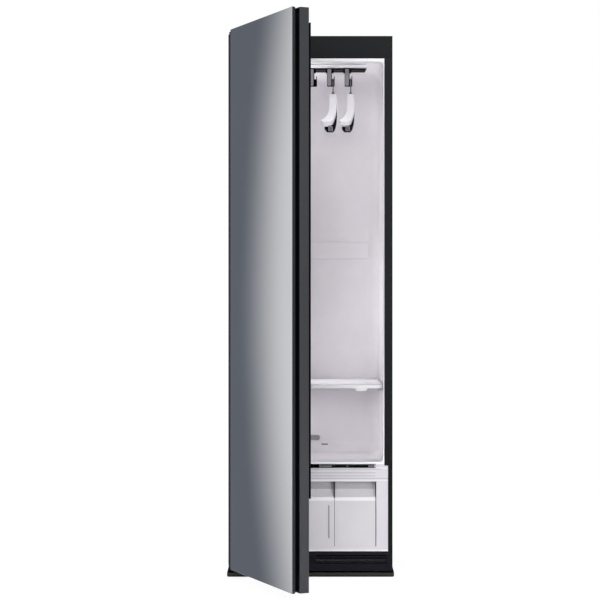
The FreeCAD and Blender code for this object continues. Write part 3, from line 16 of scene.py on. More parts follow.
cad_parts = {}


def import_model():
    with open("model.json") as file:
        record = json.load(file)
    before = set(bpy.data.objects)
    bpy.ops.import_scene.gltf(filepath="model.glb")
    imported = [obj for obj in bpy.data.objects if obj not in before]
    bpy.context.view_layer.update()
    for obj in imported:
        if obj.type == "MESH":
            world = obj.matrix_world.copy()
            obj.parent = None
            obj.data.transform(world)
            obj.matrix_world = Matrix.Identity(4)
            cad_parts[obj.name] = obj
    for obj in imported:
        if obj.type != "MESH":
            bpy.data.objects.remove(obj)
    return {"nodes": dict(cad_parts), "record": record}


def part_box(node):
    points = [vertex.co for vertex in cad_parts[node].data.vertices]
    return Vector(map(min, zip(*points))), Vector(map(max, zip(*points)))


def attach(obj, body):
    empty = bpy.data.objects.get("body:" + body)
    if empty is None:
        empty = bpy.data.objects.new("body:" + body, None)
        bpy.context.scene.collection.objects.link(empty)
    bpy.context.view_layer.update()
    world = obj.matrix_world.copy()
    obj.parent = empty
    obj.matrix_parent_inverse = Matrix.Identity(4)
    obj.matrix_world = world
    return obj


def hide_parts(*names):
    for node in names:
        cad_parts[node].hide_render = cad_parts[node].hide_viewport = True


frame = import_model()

MM = 0.001
FORWARD, BACKWARD = (0, -1, 0), (0, 1, 0)
UPWARD, DOWNWARD = (0, 0, 1), (0, 0, -1)
WHITE = (1.0, 1.0, 1.0, 1.0)

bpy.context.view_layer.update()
nodes = frame["nodes"]
record = frame["record"]
scene = bpy.context.scene
joints = {joint["name"]: joint for joint in record["behaviour"]["joints"]}
slot_of = {entry["node"]: entry["material_slot"] for entry in record["subparts"]}

# From the axes of the closed door, whose origin is on the hinge line, to the door as it stands open
# at rest. The hinge's lower limit is the closed door.
HINGE = Vector(joints["door_hinge"]["pos_m"][:2] + [0.0])
OPEN = math.radians(joints["door_hinge"]["range_deg"][0])
DOOR = Matrix.Translation(HINGE) @ Matrix.Rotation(OPEN, 4, "Z")

# ---------------------------------------------------------------- shader nodes


def srgb(*values):
    """Turns 0 to 255 screen colours into the linear values that the shader takes."""
    out = []
    for value in values:
        c = value / 255.0
        out.append(c / 12.92 if c <= 0.04045 else ((c + 0.055) / 1.055) ** 2.4)
    return tuple(out) + (1.0,)


def scaled(colour, factor):
    """A linear colour made darker or lighter, within white."""
    return tuple(min(c * factor, 1.0) for c in colour[:3]) + (1.0,)


class Nodes:
    """Shader nodes of one material or world, added and joined by short calls."""

    MIX_A, MIX_B, MIX_RESULT = 6, 7, 2  # the mix node's sockets for colours

    def __init__(self, owner):
        owner.use_nodes = True
        self.tree = owner.node_tree
        self.tree.nodes.clear()
        self.coords = None

    def add(self, kind, **props):
        node = self.tree.nodes.new(kind)
        for key, value in props.items():
            setattr(node, key, value)
        return node

    def link(self, a, b):
        self.tree.links.new(a, b)

    def feed(self, value, socket):
        """Sets a socket to a number or a colour, or links another node's output to it."""
        if isinstance(value, (int, float, tuple)):
            socket.default_value = value
        else:
            self.link(value, socket)

    def place(self):
        """Where the surface is, in its own object's coordinates."""
        if not self.coords:
            self.coords = self.add("ShaderNodeTexCoord").outputs["Object"]
        return self.coords

    def axis(self, name, vector=None):
        """One coordinate of a vector, or of the surface's place."""
        node = self.add("ShaderNodeSeparateXYZ")
        self.link(vector or self.place(), node.inputs[0])
        return node.outputs[name]

    def math(self, operation, *values, clamp=False):
        node = self.add("ShaderNodeMath", operation=operation, use_clamp=clamp)
        for value, socket in zip(values, node.inputs):
            self.feed(value, socket)
        return node.outputs[0]

    def span(self, value, low, high, out_low=0.0, out_high=1.0, kind="LINEAR"):
        """Maps low..high to the two output values, and holds them outside."""
        node = self.add("ShaderNodeMapRange", interpolation_type=kind)
        for number, socket in zip((value, low, high, out_low, out_high), node.inputs):
            self.feed(number, socket)
        return node.outputs[0]

    def mix(self, factor, a, b):
        """Colour a where the factor is 0 and colour b where it is 1."""
        node = self.add("ShaderNodeMix", data_type="RGBA")
        self.feed(factor, node.inputs["Factor"])
        self.feed(a, node.inputs[self.MIX_A])
        self.feed(b, node.inputs[self.MIX_B])
        return node.outputs[self.MIX_RESULT]

    def blend(self, factor, a, b):
        """Shader a where the factor is 0 and shader b where it is 1."""
        node = self.add("ShaderNodeMixShader")
        for value, socket in zip((factor, a, b), node.inputs):
            self.feed(value, socket)
        return node.outputs[0]

    def plain(self, kind, colour=WHITE, strength=None):
        """A diffuse, emission or background shader of one colour."""
        node = self.add(kind)
        self.feed(colour, node.inputs["Color"])
        if strength is not None:
            node.inputs["Strength"].default_value = strength
        return node.outputs[0]

    def seen(self):
        """1 for what the camera sees, itself or through polished or clear surfaces."""
        rays = self.add("ShaderNodeLightPath").outputs
        total = rays["Is Camera Ray"]
        for name in ("Is Glossy Ray", "Is Transmission Ray"):
            total = self.math("ADD", total, rays[name], clamp=True)
        return total

    def output(self, kind, shader):
        self.link(shader, self.add(kind).inputs["Surface"])


# ---------------------------------------------------------------- finishes

EDGE_RADIUS = 0.7 * MM
TONE_RANGE, ROUGH_RANGE = (0.35, 0.65), (0.3, 0.7)  # the part of a noise's range that is used
# Relief of each kind of surface: scale of its grain and depth.
PLASTIC_GRAIN, PLASTIC_DEPTH = 1800.0, 0.02 * MM
PAINT_GRAIN, PAINT_DEPTH = 420.0, 0.05 * MM
BRUSH_GRAIN, BRUSH_DEPTH, BRUSH_SHADE = 900.0, 0.02 * MM, 0.88
ZINC_GRAIN, ZINC_DEPTH, ZINC_CELLS = 60.0, 0.08 * MM, 90.0
CLOTH_WAVE, CLOTH_DEPTH = 4200.0, 0.1 * MM  # the wave in radians to the metre
MIRROR_GRAIN, SMEAR_GRAIN = 2.2, 5.0
MIRROR_TINTS = (0.735, 0.742, 0.755, 1.0), (0.765, 0.772, 0.785, 1.0)

# Places on the pieces where a finish changes.
TANK_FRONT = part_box("water_tank")[0].y
TANK_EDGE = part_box("drain_tank")[1].x
SCOOP_DEPTH = 8 * MM  # the finger scoops begin this far behind the tanks' fronts
SCOOP_LOW, SCOOP_BROW = 285 * MM, 312 * MM  # levels of their lips and of the shade above them
# Painted shade lines at the feet of the ribs on the white lower front.
RIB_FEET = (  # level, and how far the line reaches from the middle
    (0.3858, 0.252),
    (0.3727, 0.232),
    (0.3616, 0.232),
    (0.3520, 0.300),
)
# Painted highlights: bands on the crests and the lower edge of the white lower front.
PAINTED_HIGHLIGHT_BANDS = ((0.3885, 0.3909), (0.3448, 0.3472), (0.0880, 0.0955))
BASE_BAR = 13.2 * MM  # the floor ring is paler up to here
FRAME_LIGHT, FRAME_DARK = 1.0, 0.35  # painted shade on the frame deepens between these levels
FOOT_SHADE, HEAD_SHADE = 0.78, 0.4  # and this far, at the floor and on the top rail


class Finish(Nodes):
    """One material on the principled shader, in the piece's own coordinates."""

    def __init__(self, name, **values):
        self.material = bpy.data.materials.new(name)
        super().__init__(self.material)
        self.shader = self.add("ShaderNodeBsdfPrincipled")
        self.output("ShaderNodeOutputMaterial", self.shader.outputs[0])
        for key, value in values.items():
            self.shader.inputs[key.replace("_", " ")].default_value = value

    def tint(self, colour):
        self.link(colour, self.shader.inputs["Base Color"])

    def matt(self, roughness):
        self.link(roughness, self.shader.inputs["Roughness"])

    def noise(self, scale, detail=3.0, rough=0.55, vector=None):
        node = self.add("ShaderNodeTexNoise")
        node.inputs["Scale"].default_value = scale
        node.inputs["Detail"].default_value = detail
        node.inputs["Roughness"].default_value = rough
        self.link(vector or self.place(), node.inputs["Vector"])
        return node.outputs["Fac"]

    def stretch(self, factors):
        """The surface's place with its axes scaled."""
        mapping = self.add("ShaderNodeMapping")
        mapping.inputs["Scale"].default_value = factors
        self.link(self.place(), mapping.inputs["Vector"])
        return mapping.outputs["Vector"]

    def facing(self, direction):
        """How far the surface faces a direction of the piece's own frame, -1 to 1."""
        dot = self.add("ShaderNodeVectorMath", operation="DOT_PRODUCT")
        self.link(self.add("ShaderNodeTexCoord").outputs["Normal"], dot.inputs[0])
        dot.inputs[1].default_value = direction
        return dot.outputs["Value"]

    def facing_either(self, direction):
        """How far the surface faces a direction or its opposite, 0 to 1."""
        return self.math("ABSOLUTE", self.facing(direction))

    def colour(self, base, spread, scale):
        """Base colour with slow, slight variation over the piece."""
        tone = self.span(self.noise(scale, detail=4.0), *TONE_RANGE)
        self.tint(self.mix(tone, scaled(base, 1 - spread), scaled(base, 1 + spread)))

    def rough(self, base, spread=0.05, scale=14.0):
        """Roughness with slight variation over the piece."""
        value = self.noise(scale, detail=5.0)
        self.matt(self.span(value, *ROUGH_RANGE, base - spread, base + spread))

    def bump(self, height, distance):
        """Fine relief on a surface whose edges catch the light as if rounded."""
        edge = self.add("ShaderNodeBevel", samples=4)
        edge.inputs["Radius"].default_value = EDGE_RADIUS
        relief = self.add("ShaderNodeBump")
        relief.inputs["Strength"].default_value = 1.0
        relief.inputs["Distance"].default_value = distance
        self.link(height, relief.inputs["Height"])
        self.link(edge.outputs["Normal"], relief.inputs["Normal"])
        self.link(relief.outputs["Normal"], self.shader.inputs["Normal"])

    def recolour(self, factor, tone):
        """Lays a second colour over the first where the factor is 1."""
        below = self.shader.inputs["Base Color"].links[0].from_socket
        self.tint(self.mix(factor, below, tone))

    def band(self, coordinate, low, high, fade=0.8 * MM):
        """1 between two places along a coordinate, 0 outside them."""
        up = self.span(coordinate, low - fade, low)
        down = self.span(coordinate, high, high + fade, 1.0, 0.0)
        return self.math("MULTIPLY", up, down)


def moulded(name, base, roughness, gloss):
    """Moulded plastic with a fine spark-eroded texture and faint tonal variation."""
    f = Finish(name, Specular_IOR_Level=gloss)
    f.colour(base, spread=0.03, scale=6.0)
    f.rough(roughness)
    f.bump(f.noise(PLASTIC_GRAIN, detail=2.0), PLASTIC_DEPTH)
    return f


def painted(name, base, roughness, gloss):
    """Baked powder paint on sheet steel, with orange peel and slight tonal change."""
    f = Finish(name, Specular_IOR_Level=gloss)
    f.colour(base, spread=0.06, scale=5.0)
    f.rough(roughness, spread=0.04, scale=30.0)
    f.bump(f.noise(PAINT_GRAIN, detail=2.0), PAINT_DEPTH)
    return f


def brushed(name, base, roughness, factors):
    """Bare metal with directional brushing and small tonal change."""
    f = Finish(name, Metallic=1.0)
    lines = f.noise(BRUSH_GRAIN, rough=0.6, vector=f.stretch(factors))
    f.tint(f.mix(lines, scaled(base, BRUSH_SHADE), base))
    f.matt(f.span(lines, *ROUGH_RANGE, roughness - 0.06, roughness + 0.08))
    f.bump(lines, BRUSH_DEPTH)
    return f


def zinc():
    """Zinc-coated sheet with its spangle."""
    f = Finish("galvanised", Metallic=1.0)
    cells = f.add("ShaderNodeTexVoronoi")
    cells.inputs["Scale"].default_value = ZINC_CELLS
    f.link(f.place(), cells.inputs["Vector"])
    spangle = f.axis("X", cells.outputs["Color"])
    f.tint(f.mix(spangle, srgb(146, 148, 150), srgb(178, 180, 182)))
    f.matt(f.span(spangle, 0.0, 1.0, 0.34, 0.5))
    f.bump(f.noise(ZINC_GRAIN), ZINC_DEPTH)
    return f


def mirror_glass():
    """Tinted mirror behind polished glass, with dark ground edges."""
    f = Finish("mirror_glass", IOR=1.5)
    face = f.span(f.facing_either(tuple(DOOR.to_3x3() @ Vector(BACKWARD))), 0.6, 0.8)
    film = f.span(f.noise(MIRROR_GRAIN), *TONE_RANGE)
    f.tint(f.mix(face, srgb(28, 30, 34), f.mix(film, *MIRROR_TINTS)))
    f.link(face, f.shader.inputs["Metallic"])
    smear = f.span(f.noise(SMEAR_GRAIN, detail=5.0), 0.4, 0.75, 0.035, 0.075)
    f.matt(f.math("MAXIMUM", smear, f.span(face, 0.0, 1.0, 0.35, 0.0)))
    return f


def filter_mesh():
    """Fine woven mesh in the dark cartridge, with paler finger tabs at its front."""
    f = Finish("filter_grey", Specular_IOR_Level=0.04)
    waves = [f.math("SINE", f.math("MULTIPLY", f.axis(name), CLOTH_WAVE)) for name in "XY"]
    weave = f.math("MULTIPLY", *waves)
    top = f.span(f.facing(UPWARD), 0.7, 0.9)
    cloth = f.math("MULTIPLY", f.span(weave, -0.2, 0.4), top)
    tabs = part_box("lower_surround")[0].y + 0.6 * MM
    tab = f.span(f.axis("Y"), tabs, tabs - 0.2 * MM)
    f.tint(f.mix(tab, f.mix(cloth, srgb(4, 4, 5), srgb(60, 60, 64)), srgb(138, 136, 142)))
    f.rough(0.55)
    f.bump(cloth, CLOTH_DEPTH)
    return f


def tank_plastic():
    """White tank plastic, with painted shade in the scoop, a painted highlight on its lip and a
    painted shadow line in the gap at the right tank's edge.
    """
    f = moulded("tank_white", srgb(211, 208, 214), 0.32, gloss=0.35)
    across, away, up = (f.axis(name) for name in "XYZ")
    depths = (TANK_FRONT + SCOOP_DEPTH, TANK_FRONT + SCOOP_DEPTH + MM)
    inside = f.span(away, *depths)
    outside = f.span(away, *depths, 1.0, 0.0)
    brow = f.span(up, SCOOP_BROW - MM, SCOOP_BROW + MM)
    shade = f.mix(brow, srgb(204, 201, 207), srgb(172, 168, 174))
    # Painted shade inside the scoop, deepest under its brow.
    f.recolour(f.math("MULTIPLY", inside, f.span(up, SCOOP_LOW - 2 * MM, SCOOP_LOW)), shade)
    # Painted highlight on the lip below the scoop.
    lip = f.band(up, SCOOP_LOW - 10 * MM, SCOOP_LOW + 2 * MM, fade=6 * MM)
    f.recolour(f.math("MULTIPLY", outside, lip), srgb(238, 236, 241))
    # Painted shadow line in the gap between the right tank and its bay.
    f.recolour(f.span(across, TANK_EDGE - 2.2 * MM, TANK_EDGE - 1.8 * MM), srgb(52, 50, 54))
    return f


def surround_plastic():
    """White lower front, with painted shade at the foot of each rib and painted highlights on its
    crests and lower edge.
    """
    f = moulded("surround_white", srgb(215, 212, 219), 0.42, gloss=0.3)
    up = f.axis("Z")
    away = f.math("ABSOLUTE", f.axis("X"))
    # Painted shade lines at the foot of each rib.
    for level, reach in RIB_FEET:
        foot = f.band(up, level - MM, level + MM)
        line = f.math("MULTIPLY", foot, f.span(away, reach, reach + 3 * MM, 1.0, 0.0))
        f.recolour(line, srgb(188, 185, 192))
    # Painted highlights on the crests and the lower edge.
    for low, high in PAINTED_HIGHLIGHT_BANDS:
        f.recolour(f.band(up, low, high), srgb(238, 237, 242))
    return f


def shelf_plastic():
    """White shelf, with a painted highlight on its front-facing faces."""
    f = moulded("shelf_plastic", srgb(230, 228, 233), 0.5, gloss=0.3)
    f.recolour(f.span(f.facing(FORWARD), 0.5, 0.8), srgb(250, 248, 252))
    return f


def ceiling_plastic():
    """Ceiling cover: the front walls of its ribs lie in shade."""
    f = moulded("ceiling_white", srgb(248, 247, 251), 0.5, gloss=0.2)
    f.recolour(f.span(f.facing(FORWARD), 0.4, 0.7), srgb(205, 204, 209))
    return f


def grille_plastic():
    """Dark kick grille: the sloping faces of its louvres lie in shade."""
    f = moulded("grille_dark", srgb(30, 29, 35), 0.55, gloss=0.04)
    f.recolour(f.span(f.facing_either(UPWARD), 0.2, 0.6), srgb(14, 13, 17))
    return f


def base_plastic():
    """Dark floor ring: its upper part lies in the shade of the kick grille."""
    f = moulded("base_dark", srgb(62, 62, 60), 0.5, gloss=0.0)
    above = f.span(f.axis("Z"), BASE_BAR, BASE_BAR + 0.5 * MM)
    top = f.span(f.facing(UPWARD), 0.5, 0.8)
    f.recolour(f.math("MAXIMUM", above, top), srgb(3, 3, 3))
    return f


def stile_paint():
    """Frame paint, with painted shade that deepens towards the floor and on the top rail."""
    f = painted("frame_paint", srgb(32, 33, 36), 0.42, gloss=0.15)
    up = f.axis("Z")
    low = f.span(up, FRAME_LIGHT, FRAME_DARK, 0.0, FOOT_SHADE)
    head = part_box("opening_trim")[1].z
    high = f.span(up, head - 2 * MM, head + 2 * MM, 0.0, HEAD_SHADE)
    # Painted shade: darker towards the floor and on the top rail.
    f.recolour(f.math("MAXIMUM", low, high), srgb(6, 6, 7))
    return f


# Each plain finish: screen colour, roughness and specular level.
PLASTICS = {
    "liner_plastic": ((225, 222, 226), 0.5, 0.3),
    "trim_white": ((247, 247, 250), 0.45, 0.3),
    "lens_plastic": ((238, 238, 236), 0.5, 0.5),
    "outlet_grey": ((150, 147, 152), 0.5, 0.5),
    "rail_dark": ((8, 8, 10), 0.5, 0.05),
    "strap_grey": ((150, 148, 153), 0.4, 0.3),
    "hanger_pale": ((234, 232, 237), 0.35, 0.3),
    "hanger_dark": ((10, 9, 11), 0.55, 0.03),
    "bay_dark": ((64, 64, 68), 0.5, 0.2),
    "foot_rubber": ((18, 18, 18), 0.7, 0.2),
    "door_edge": ((37, 38, 42), 0.45, 0.2),
    "door_channel": ((5, 6, 8), 0.6, 0.05),
    "door_inner": ((61, 62, 66), 0.5, 0.2),
    "gasket_rubber": ((14, 14, 16), 0.6, 0.2),
    "bush_plastic": ((30, 30, 32), 0.4, 0.5),
    "machine_grey": ((60, 61, 65), 0.5, 0.2),
    "hose_rubber": ((26, 26, 27), 0.65, 0.5),
    "board_green": ((22, 82, 48), 0.45, 0.5),
}
PAINTS = {
    "shell_steel": ((46, 47, 51), 0.45, 0.3),
    "hinge_steel": ((36, 37, 40), 0.4, 0.3),
    "machine_black": ((28, 28, 30), 0.35, 0.5),
}
# Each brushed metal: screen colour, roughness and how its grain is scaled along x, y and z.
METALS = {
    "wire": ((120, 120, 124), 0.25, (1.0, 1.0, 1.0)),
    "fin_aluminium": ((205, 207, 210), 0.35, (1.0, 1.0, 30.0)),
}

FINISHES = {
    "frame_paint": stile_paint(),
    "galvanised": zinc(),
    "shelf_plastic": shelf_plastic(),
    "surround_white": surround_plastic(),
    "tank_white": tank_plastic(),
    "filter_grey": filter_mesh(),
    "grille_dark": grille_plastic(),
    "mirror_glass": mirror_glass(),
}
for make, table in ((moulded, PLASTICS), (painted, PAINTS), (brushed, METALS)):
    for slot_name, (screen_colour, roughness, extra) in table.items():
        FINISHES[slot_name] = make(slot_name, srgb(*screen_colour), roughness, extra)


def finish(obj, slot):
    """Gives a piece the finish of a material slot."""
    obj.data.materials.clear()
    obj.data.materials.append(FINISHES[slot].material)


for node_name, node in nodes.items():
    finish(node, slot_of[node_name])
base_finish = base_plastic()
for node_name in ("base_frame", "foot_covers"):
    nodes[node_name].data.materials[0] = base_finish.material
nodes["ceiling_cover"].data.materials[0] = ceiling_plastic().material

# ---------------------------------------------------------------- drawing of small pieces

WELD = 0.002 * MM  # vertices closer than this are joined
CORNER_STEPS = 5

# Pan-head screw, in parts of its radius: width and height of the head's steps, and the recess.
SCREW_HEAD = ((1.0, 0.0), (1.0, 0.2), (0.9, 0.42), (0.66, 0.55))
SCREW_STEPS = 20
CROSS_CORNER = ((0.11, -0.52), (0.11, -0.11), (0.52, -0.11))  # turned four times
CROSS_FLOOR = 0.2


class Shape:
    """A small piece's mesh, drawn in metres in frames of its own and put in its place."""

    def __init__(self):
        self.mesh = bmesh.new()

    def ring(self, points):
        return [self.mesh.verts.new(point) for point in points]

    def bridge(self, rings):
        """Walls from each closed ring to the next."""
        for first, second in zip(rings, rings[1:]):
            for k, vert in enumerate(first):
                n = (k + 1) % len(first)
                self.mesh.faces.new((vert, first[n], second[n], second[k]))

    def plate(self, place, outline, low, high, ease):
        """A flat outline between two heights of a frame, its upper rim eased."""
        levels = ((low, 0.0), (high - ease, 0.0), (high - 0.3 * ease, 0.3 * ease), (high, ease))
        rings = []
        for z, inset in levels:
            points = [shrink(x, y, inset) for x, y in outline]
            rings.append(self.ring([place @ Vector((x, y, z)) for x, y in points]))
        self.bridge(rings)
        self.mesh.faces.new(rings[0])
        self.mesh.faces.new(rings[-1])

    def screw(self, place, radius):
        """Pan head with a cross recess, its axis along the frame's z."""
        angles = [2 * math.pi * k / SCREW_STEPS for k in range(SCREW_STEPS)]
        rings = []
        for wide, up in SCREW_HEAD:
            points = [Vector((math.cos(a) * wide, math.sin(a) * wide, up)) for a in angles]
            rings.append(self.ring([place @ (point * radius) for point in points]))
        self.bridge(rings)
        self.mesh.faces.new(rings[0])
        cross = []
        for k in range(4):
            turn = Matrix.Rotation(k * math.pi / 2, 2)
            cross += [turn @ Vector(corner) for corner in CROSS_CORNER]
        top, bottom = (
            self.ring([place @ (Vector((x, y, level)) * radius) for x, y in cross])
            for level in (SCREW_HEAD[-1][1], CROSS_FLOOR)
        )
        self.bridge([top, bottom])
        self.mesh.faces.new(bottom)
        edges = []
        for loop in (rings[-1], top):
            for k, vert in enumerate(loop):
                pair = (vert, loop[(k + 1) % len(loop)])
                edges.append(self.mesh.edges.get(pair) or self.mesh.edges.new(pair))
        bmesh.ops.triangle_fill(self.mesh, use_beauty=True, edges=edges)

    def smooth(self, angle):
        """Joins split vertices and shades smoothly over edges flatter than the angle in degrees."""
        bmesh.ops.remove_doubles(self.mesh, verts=self.mesh.verts, dist=WELD)
        for face in self.mesh.faces:
            face.smooth = True
        for edge in self.mesh.edges:
            flat = len(edge.link_faces) == 2 and edge.calc_face_angle() < math.radians(angle)
            edge.smooth = flat

    def done(self, name, slot_name, body, replaces=()):
        """Makes the piece, with its finish, its body and the nodes that it stands for."""
        bmesh.ops.recalc_face_normals(self.mesh, faces=self.mesh.faces)
        mesh = bpy.data.meshes.new(name)
        self.mesh.to_mesh(mesh)
        self.mesh.free()
        piece = bpy.data.objects.new(name, mesh)
        scene.collection.objects.link(piece)
        finish(piece, slot_name)
        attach(piece, body)
        if replaces:
            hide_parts(*replaces)
        return piece


def shrink(x, y, inset):
    """Moves a point of an outline inwards, towards the origin."""
    keep = 1 - inset / math.hypot(x, y)
    return (x * keep, y * keep)


def rounded(width, height, radius):
    """Rounded rectangle about the origin, counter-clockwise; radii run from the lower left."""
    radii = radius if isinstance(radius, tuple) else (radius,) * 4
    corners = ((-1, -1, 180), (1, -1, 270), (1, 1, 0), (-1, 1, 90))
    points = []
    for (side, end, start), r in zip(corners, radii):
        middle = (side * (width / 2 - r), end * (height / 2 - r))
        for k in range(CORNER_STEPS + 1):
            turn = math.radians(start + 90 * k / CORNER_STEPS)
            points.append((middle[0] + r * math.cos(turn), middle[1] + r * math.sin(turn)))
    return points


def stand(place, normal, up=UPWARD):
    """Frame at a point of a surface, with its z along the surface's normal."""
    z = Vector(normal).normalized()
    x = Vector(up).cross(z).normalized()
    y = z.cross(x)
    return Matrix.Translation(place) @ Matrix((x, y, z)).transposed().to_4x4()


def touch(solid, start, direction):
    """Where a ray first meets a solid, and the surface's normal there."""
    mesh = solid.data
    tree = BVHTree.FromPolygons([v.co for v in mesh.vertices], [p.vertices for p in mesh.polygons])
    place, normal, _, _ = tree.ray_cast(Vector(start), Vector(direction))
    return place, normal


# ---------------------------------------------------------------- small pieces

# The door gasket's outer frame and seat in the closed door's axes, and its section in mm: inwards
# from the outer edge and towards the cabinet. The lip runs out along the door's free side only.
GASKET_LEFT, GASKET_RIGHT = 3 * MM, 569 * MM
GASKET_BOTTOM, GASKET_TOP = 344 * MM, 1911 * MM
GASKET_SEAT = 54 * MM
GASKET_SECTION = (
    (0.3, 0.0),
    (0.1, 1.0),
    (1.0, 2.0),
    (0.3, 3.0),
    (-7.6, 4.6),
    (-7.8, 5.9),
    (1.1, 6.0),
    (3.0, 6.15),
    (5.0, 6.1),
    (5.5, 5.2),
    (6.5, 5.2),
    (7.0, 6.1),
    (9.0, 6.15),
    (10.9, 5.8),
    (11.8, 4.6),
    (11.7, 3.0),
    (11.0, 2.0),
    (11.9, 1.0),
    (11.7, 0.0),
)


def door_gasket():
    """Bellows gasket with a magnet channel, and a soft lip along the door's free edge."""
    shape = Shape()
    rings = []
    for across, up in GASKET_SECTION:
        inset = max(across, 0.0) * MM
        left, free_edge = GASKET_LEFT + inset, GASKET_RIGHT - across * MM
        bottom, top = GASKET_BOTTOM + inset, GASKET_TOP - inset
        depth = GASKET_SEAT + up * MM
        corners = ((left, bottom), (free_edge, bottom), (free_edge, top), (left, top))
        rings.append(shape.ring([DOOR @ Vector((u, depth, z)) for u, z in corners]))
    shape.bridge(rings + rings[:1])
    shape.done("door_gasket_bellows", "gasket_rubber", "door", ("door_gasket",))


STRAP_WIDTH = 14 * MM
STRAP_MIDDLE = 9.5 * MM  # from the left edge of the CAD strap
STRAP_RADII = (5 * MM, 5 * MM, 1.5 * MM, 1.5 * MM)


def hook_straps():
    """Straps of the hook blocks, rounded at their lower ends."""
    low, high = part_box("hook_straps")
    edges = sorted({round(v.co.x, 4) for v in nodes["hook_straps"].data.vertices})
    outline = rounded(STRAP_WIDTH, high.z - low.z, STRAP_RADII)
    shape = Shape()
    for left in edges[::2]:
        middle = Vector((left + STRAP_MIDDLE, high.y, (low.z + high.z) / 2))
        shape.plate(stand(middle, FORWARD), outline, 0.0, high.y - low.y, ease=0.7 * MM)
    shape.done("hook_strap_plates", "strap_grey", "hanging_rail", ("hook_straps",))


HOOK_COUNT = 5
HOOK_PITCH = 66 * MM
HOOK_FIRST = 10.5 * MM  # from the left edge of the first strap
COLLAR_WIDTH = 29 * MM
INLAY_HEIGHT = 7.4 * MM
INLAY_LEVEL = 5 * MM  # its middle above the rail's lower edge
INLAY_END = 4 * MM
INLAY_GAP = 0.6 * MM
INLAY_SHORTEST = 6 * MM


def rail_inlay():
    """Grey strip let into the rail's front between the hook blocks."""
    low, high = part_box("hanger_rail")
    strap_low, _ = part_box("hook_straps")
    ends = [low.x + INLAY_END]
    for k in range(HOOK_COUNT):
        middle = strap_low.x + HOOK_FIRST + k * HOOK_PITCH
        clear = COLLAR_WIDTH / 2 + INLAY_GAP
        ends += [middle - clear, middle + clear]
    ends.append(high.x - INLAY_END)
    shape = Shape()
    for left, right in zip(ends[::2], ends[1::2]):
        if right - left > INLAY_SHORTEST:
            middle = ((left + right) / 2, low.y + 0.2 * MM, low.z + INLAY_LEVEL)
            outline = rounded(right - left, INLAY_HEIGHT, 2 * MM)
            shape.plate(stand(middle, FORWARD), outline, 0.0, 0.6 * MM, ease=0.3 * MM)
    shape.done("rail_inlay", "machine_grey", "hanging_rail")


WINDOWS = (  # tank, the groove's place along x, finish
    ("water_tank", 65.6 * MM, "outlet_grey"),
    ("drain_tank", 99 * MM, "tank_white"),
)
WINDOW_LOW, WINDOW_HIGH = 137.3 * MM, 255.7 * MM
WINDOW_WIDTH = 5.4 * MM
GROOVE_DEPTH = 1.2 * MM


def tank_windows():
    """Level windows let into the grooves of both tanks' fronts."""
    outline = rounded(WINDOW_WIDTH, WINDOW_HIGH - WINDOW_LOW, 1.2 * MM)
    for body, x, slot_name in WINDOWS:
        middle = (x, TANK_FRONT + GROOVE_DEPTH, (WINDOW_LOW + WINDOW_HIGH) / 2)
        shape = Shape()
        shape.plate(stand(middle, FORWARD), outline, 0.0, 0.9 * MM, ease=0.4 * MM)
        shape.done(f"{body}_window", slot_name, body)


# The CAD part of a hanger, the copy's name and finish, and how many mm its near and its far end are
# drawn back: in the middle of the end, and more at its corners.
HANGER_COPIES = (
    ("shell", "upper", "hanger_pale", (0, 8), (15, 24)),
    ("base", "lower", "hanger_dark", (5, 8), (11, 22)),
)
BEND_START, BEND_END, ARM_SLOPE = 60 * MM, 186 * MM, 0.53  # from the pivot, and rise over run
END_MIDDLE, END_HALF = -16 * MM, 20 * MM  # across the arm
SMOOTH_BELOW = 35  # degrees
GRIP_REACH, GRIP_SIDE, GRIP_BELOW = 146 * MM, -14 * MM, 300 * MM  # from the hook's pivot
GRIP_WIDTH, GRIP_LENGTH, GRIP_RADIUS = 16 * MM, 34 * MM, 6 * MM
GRIP_BARS, BAR_PITCH = 4, 7.6 * MM
BAR_WIDTH, BAR_LENGTH, BAR_RADIUS = 13 * MM, 4.4 * MM, 1.8 * MM


def bend_ends(shape, pivot, along, across, near_pull, far_pull):
    """Draws the ends of a hanger's arms back along their slope, their corners the most."""
    for vert in shape.mesh.verts:
        offset = vert.co - pivot
        reach, side = offset.dot(along), offset.dot(across)
        share = min(max((abs(reach) - BEND_START) / (BEND_END - BEND_START), 0.0), 1.0)
        middle_pull, corner_pull = far_pull if reach > 0 else near_pull
        wide = (side - END_MIDDLE) / END_HALF
        back = share * share * (middle_pull + corner_pull * wide * wide) * MM
        vert.co -= along * math.copysign(back, reach)
        vert.co.z += back * ARM_SLOPE


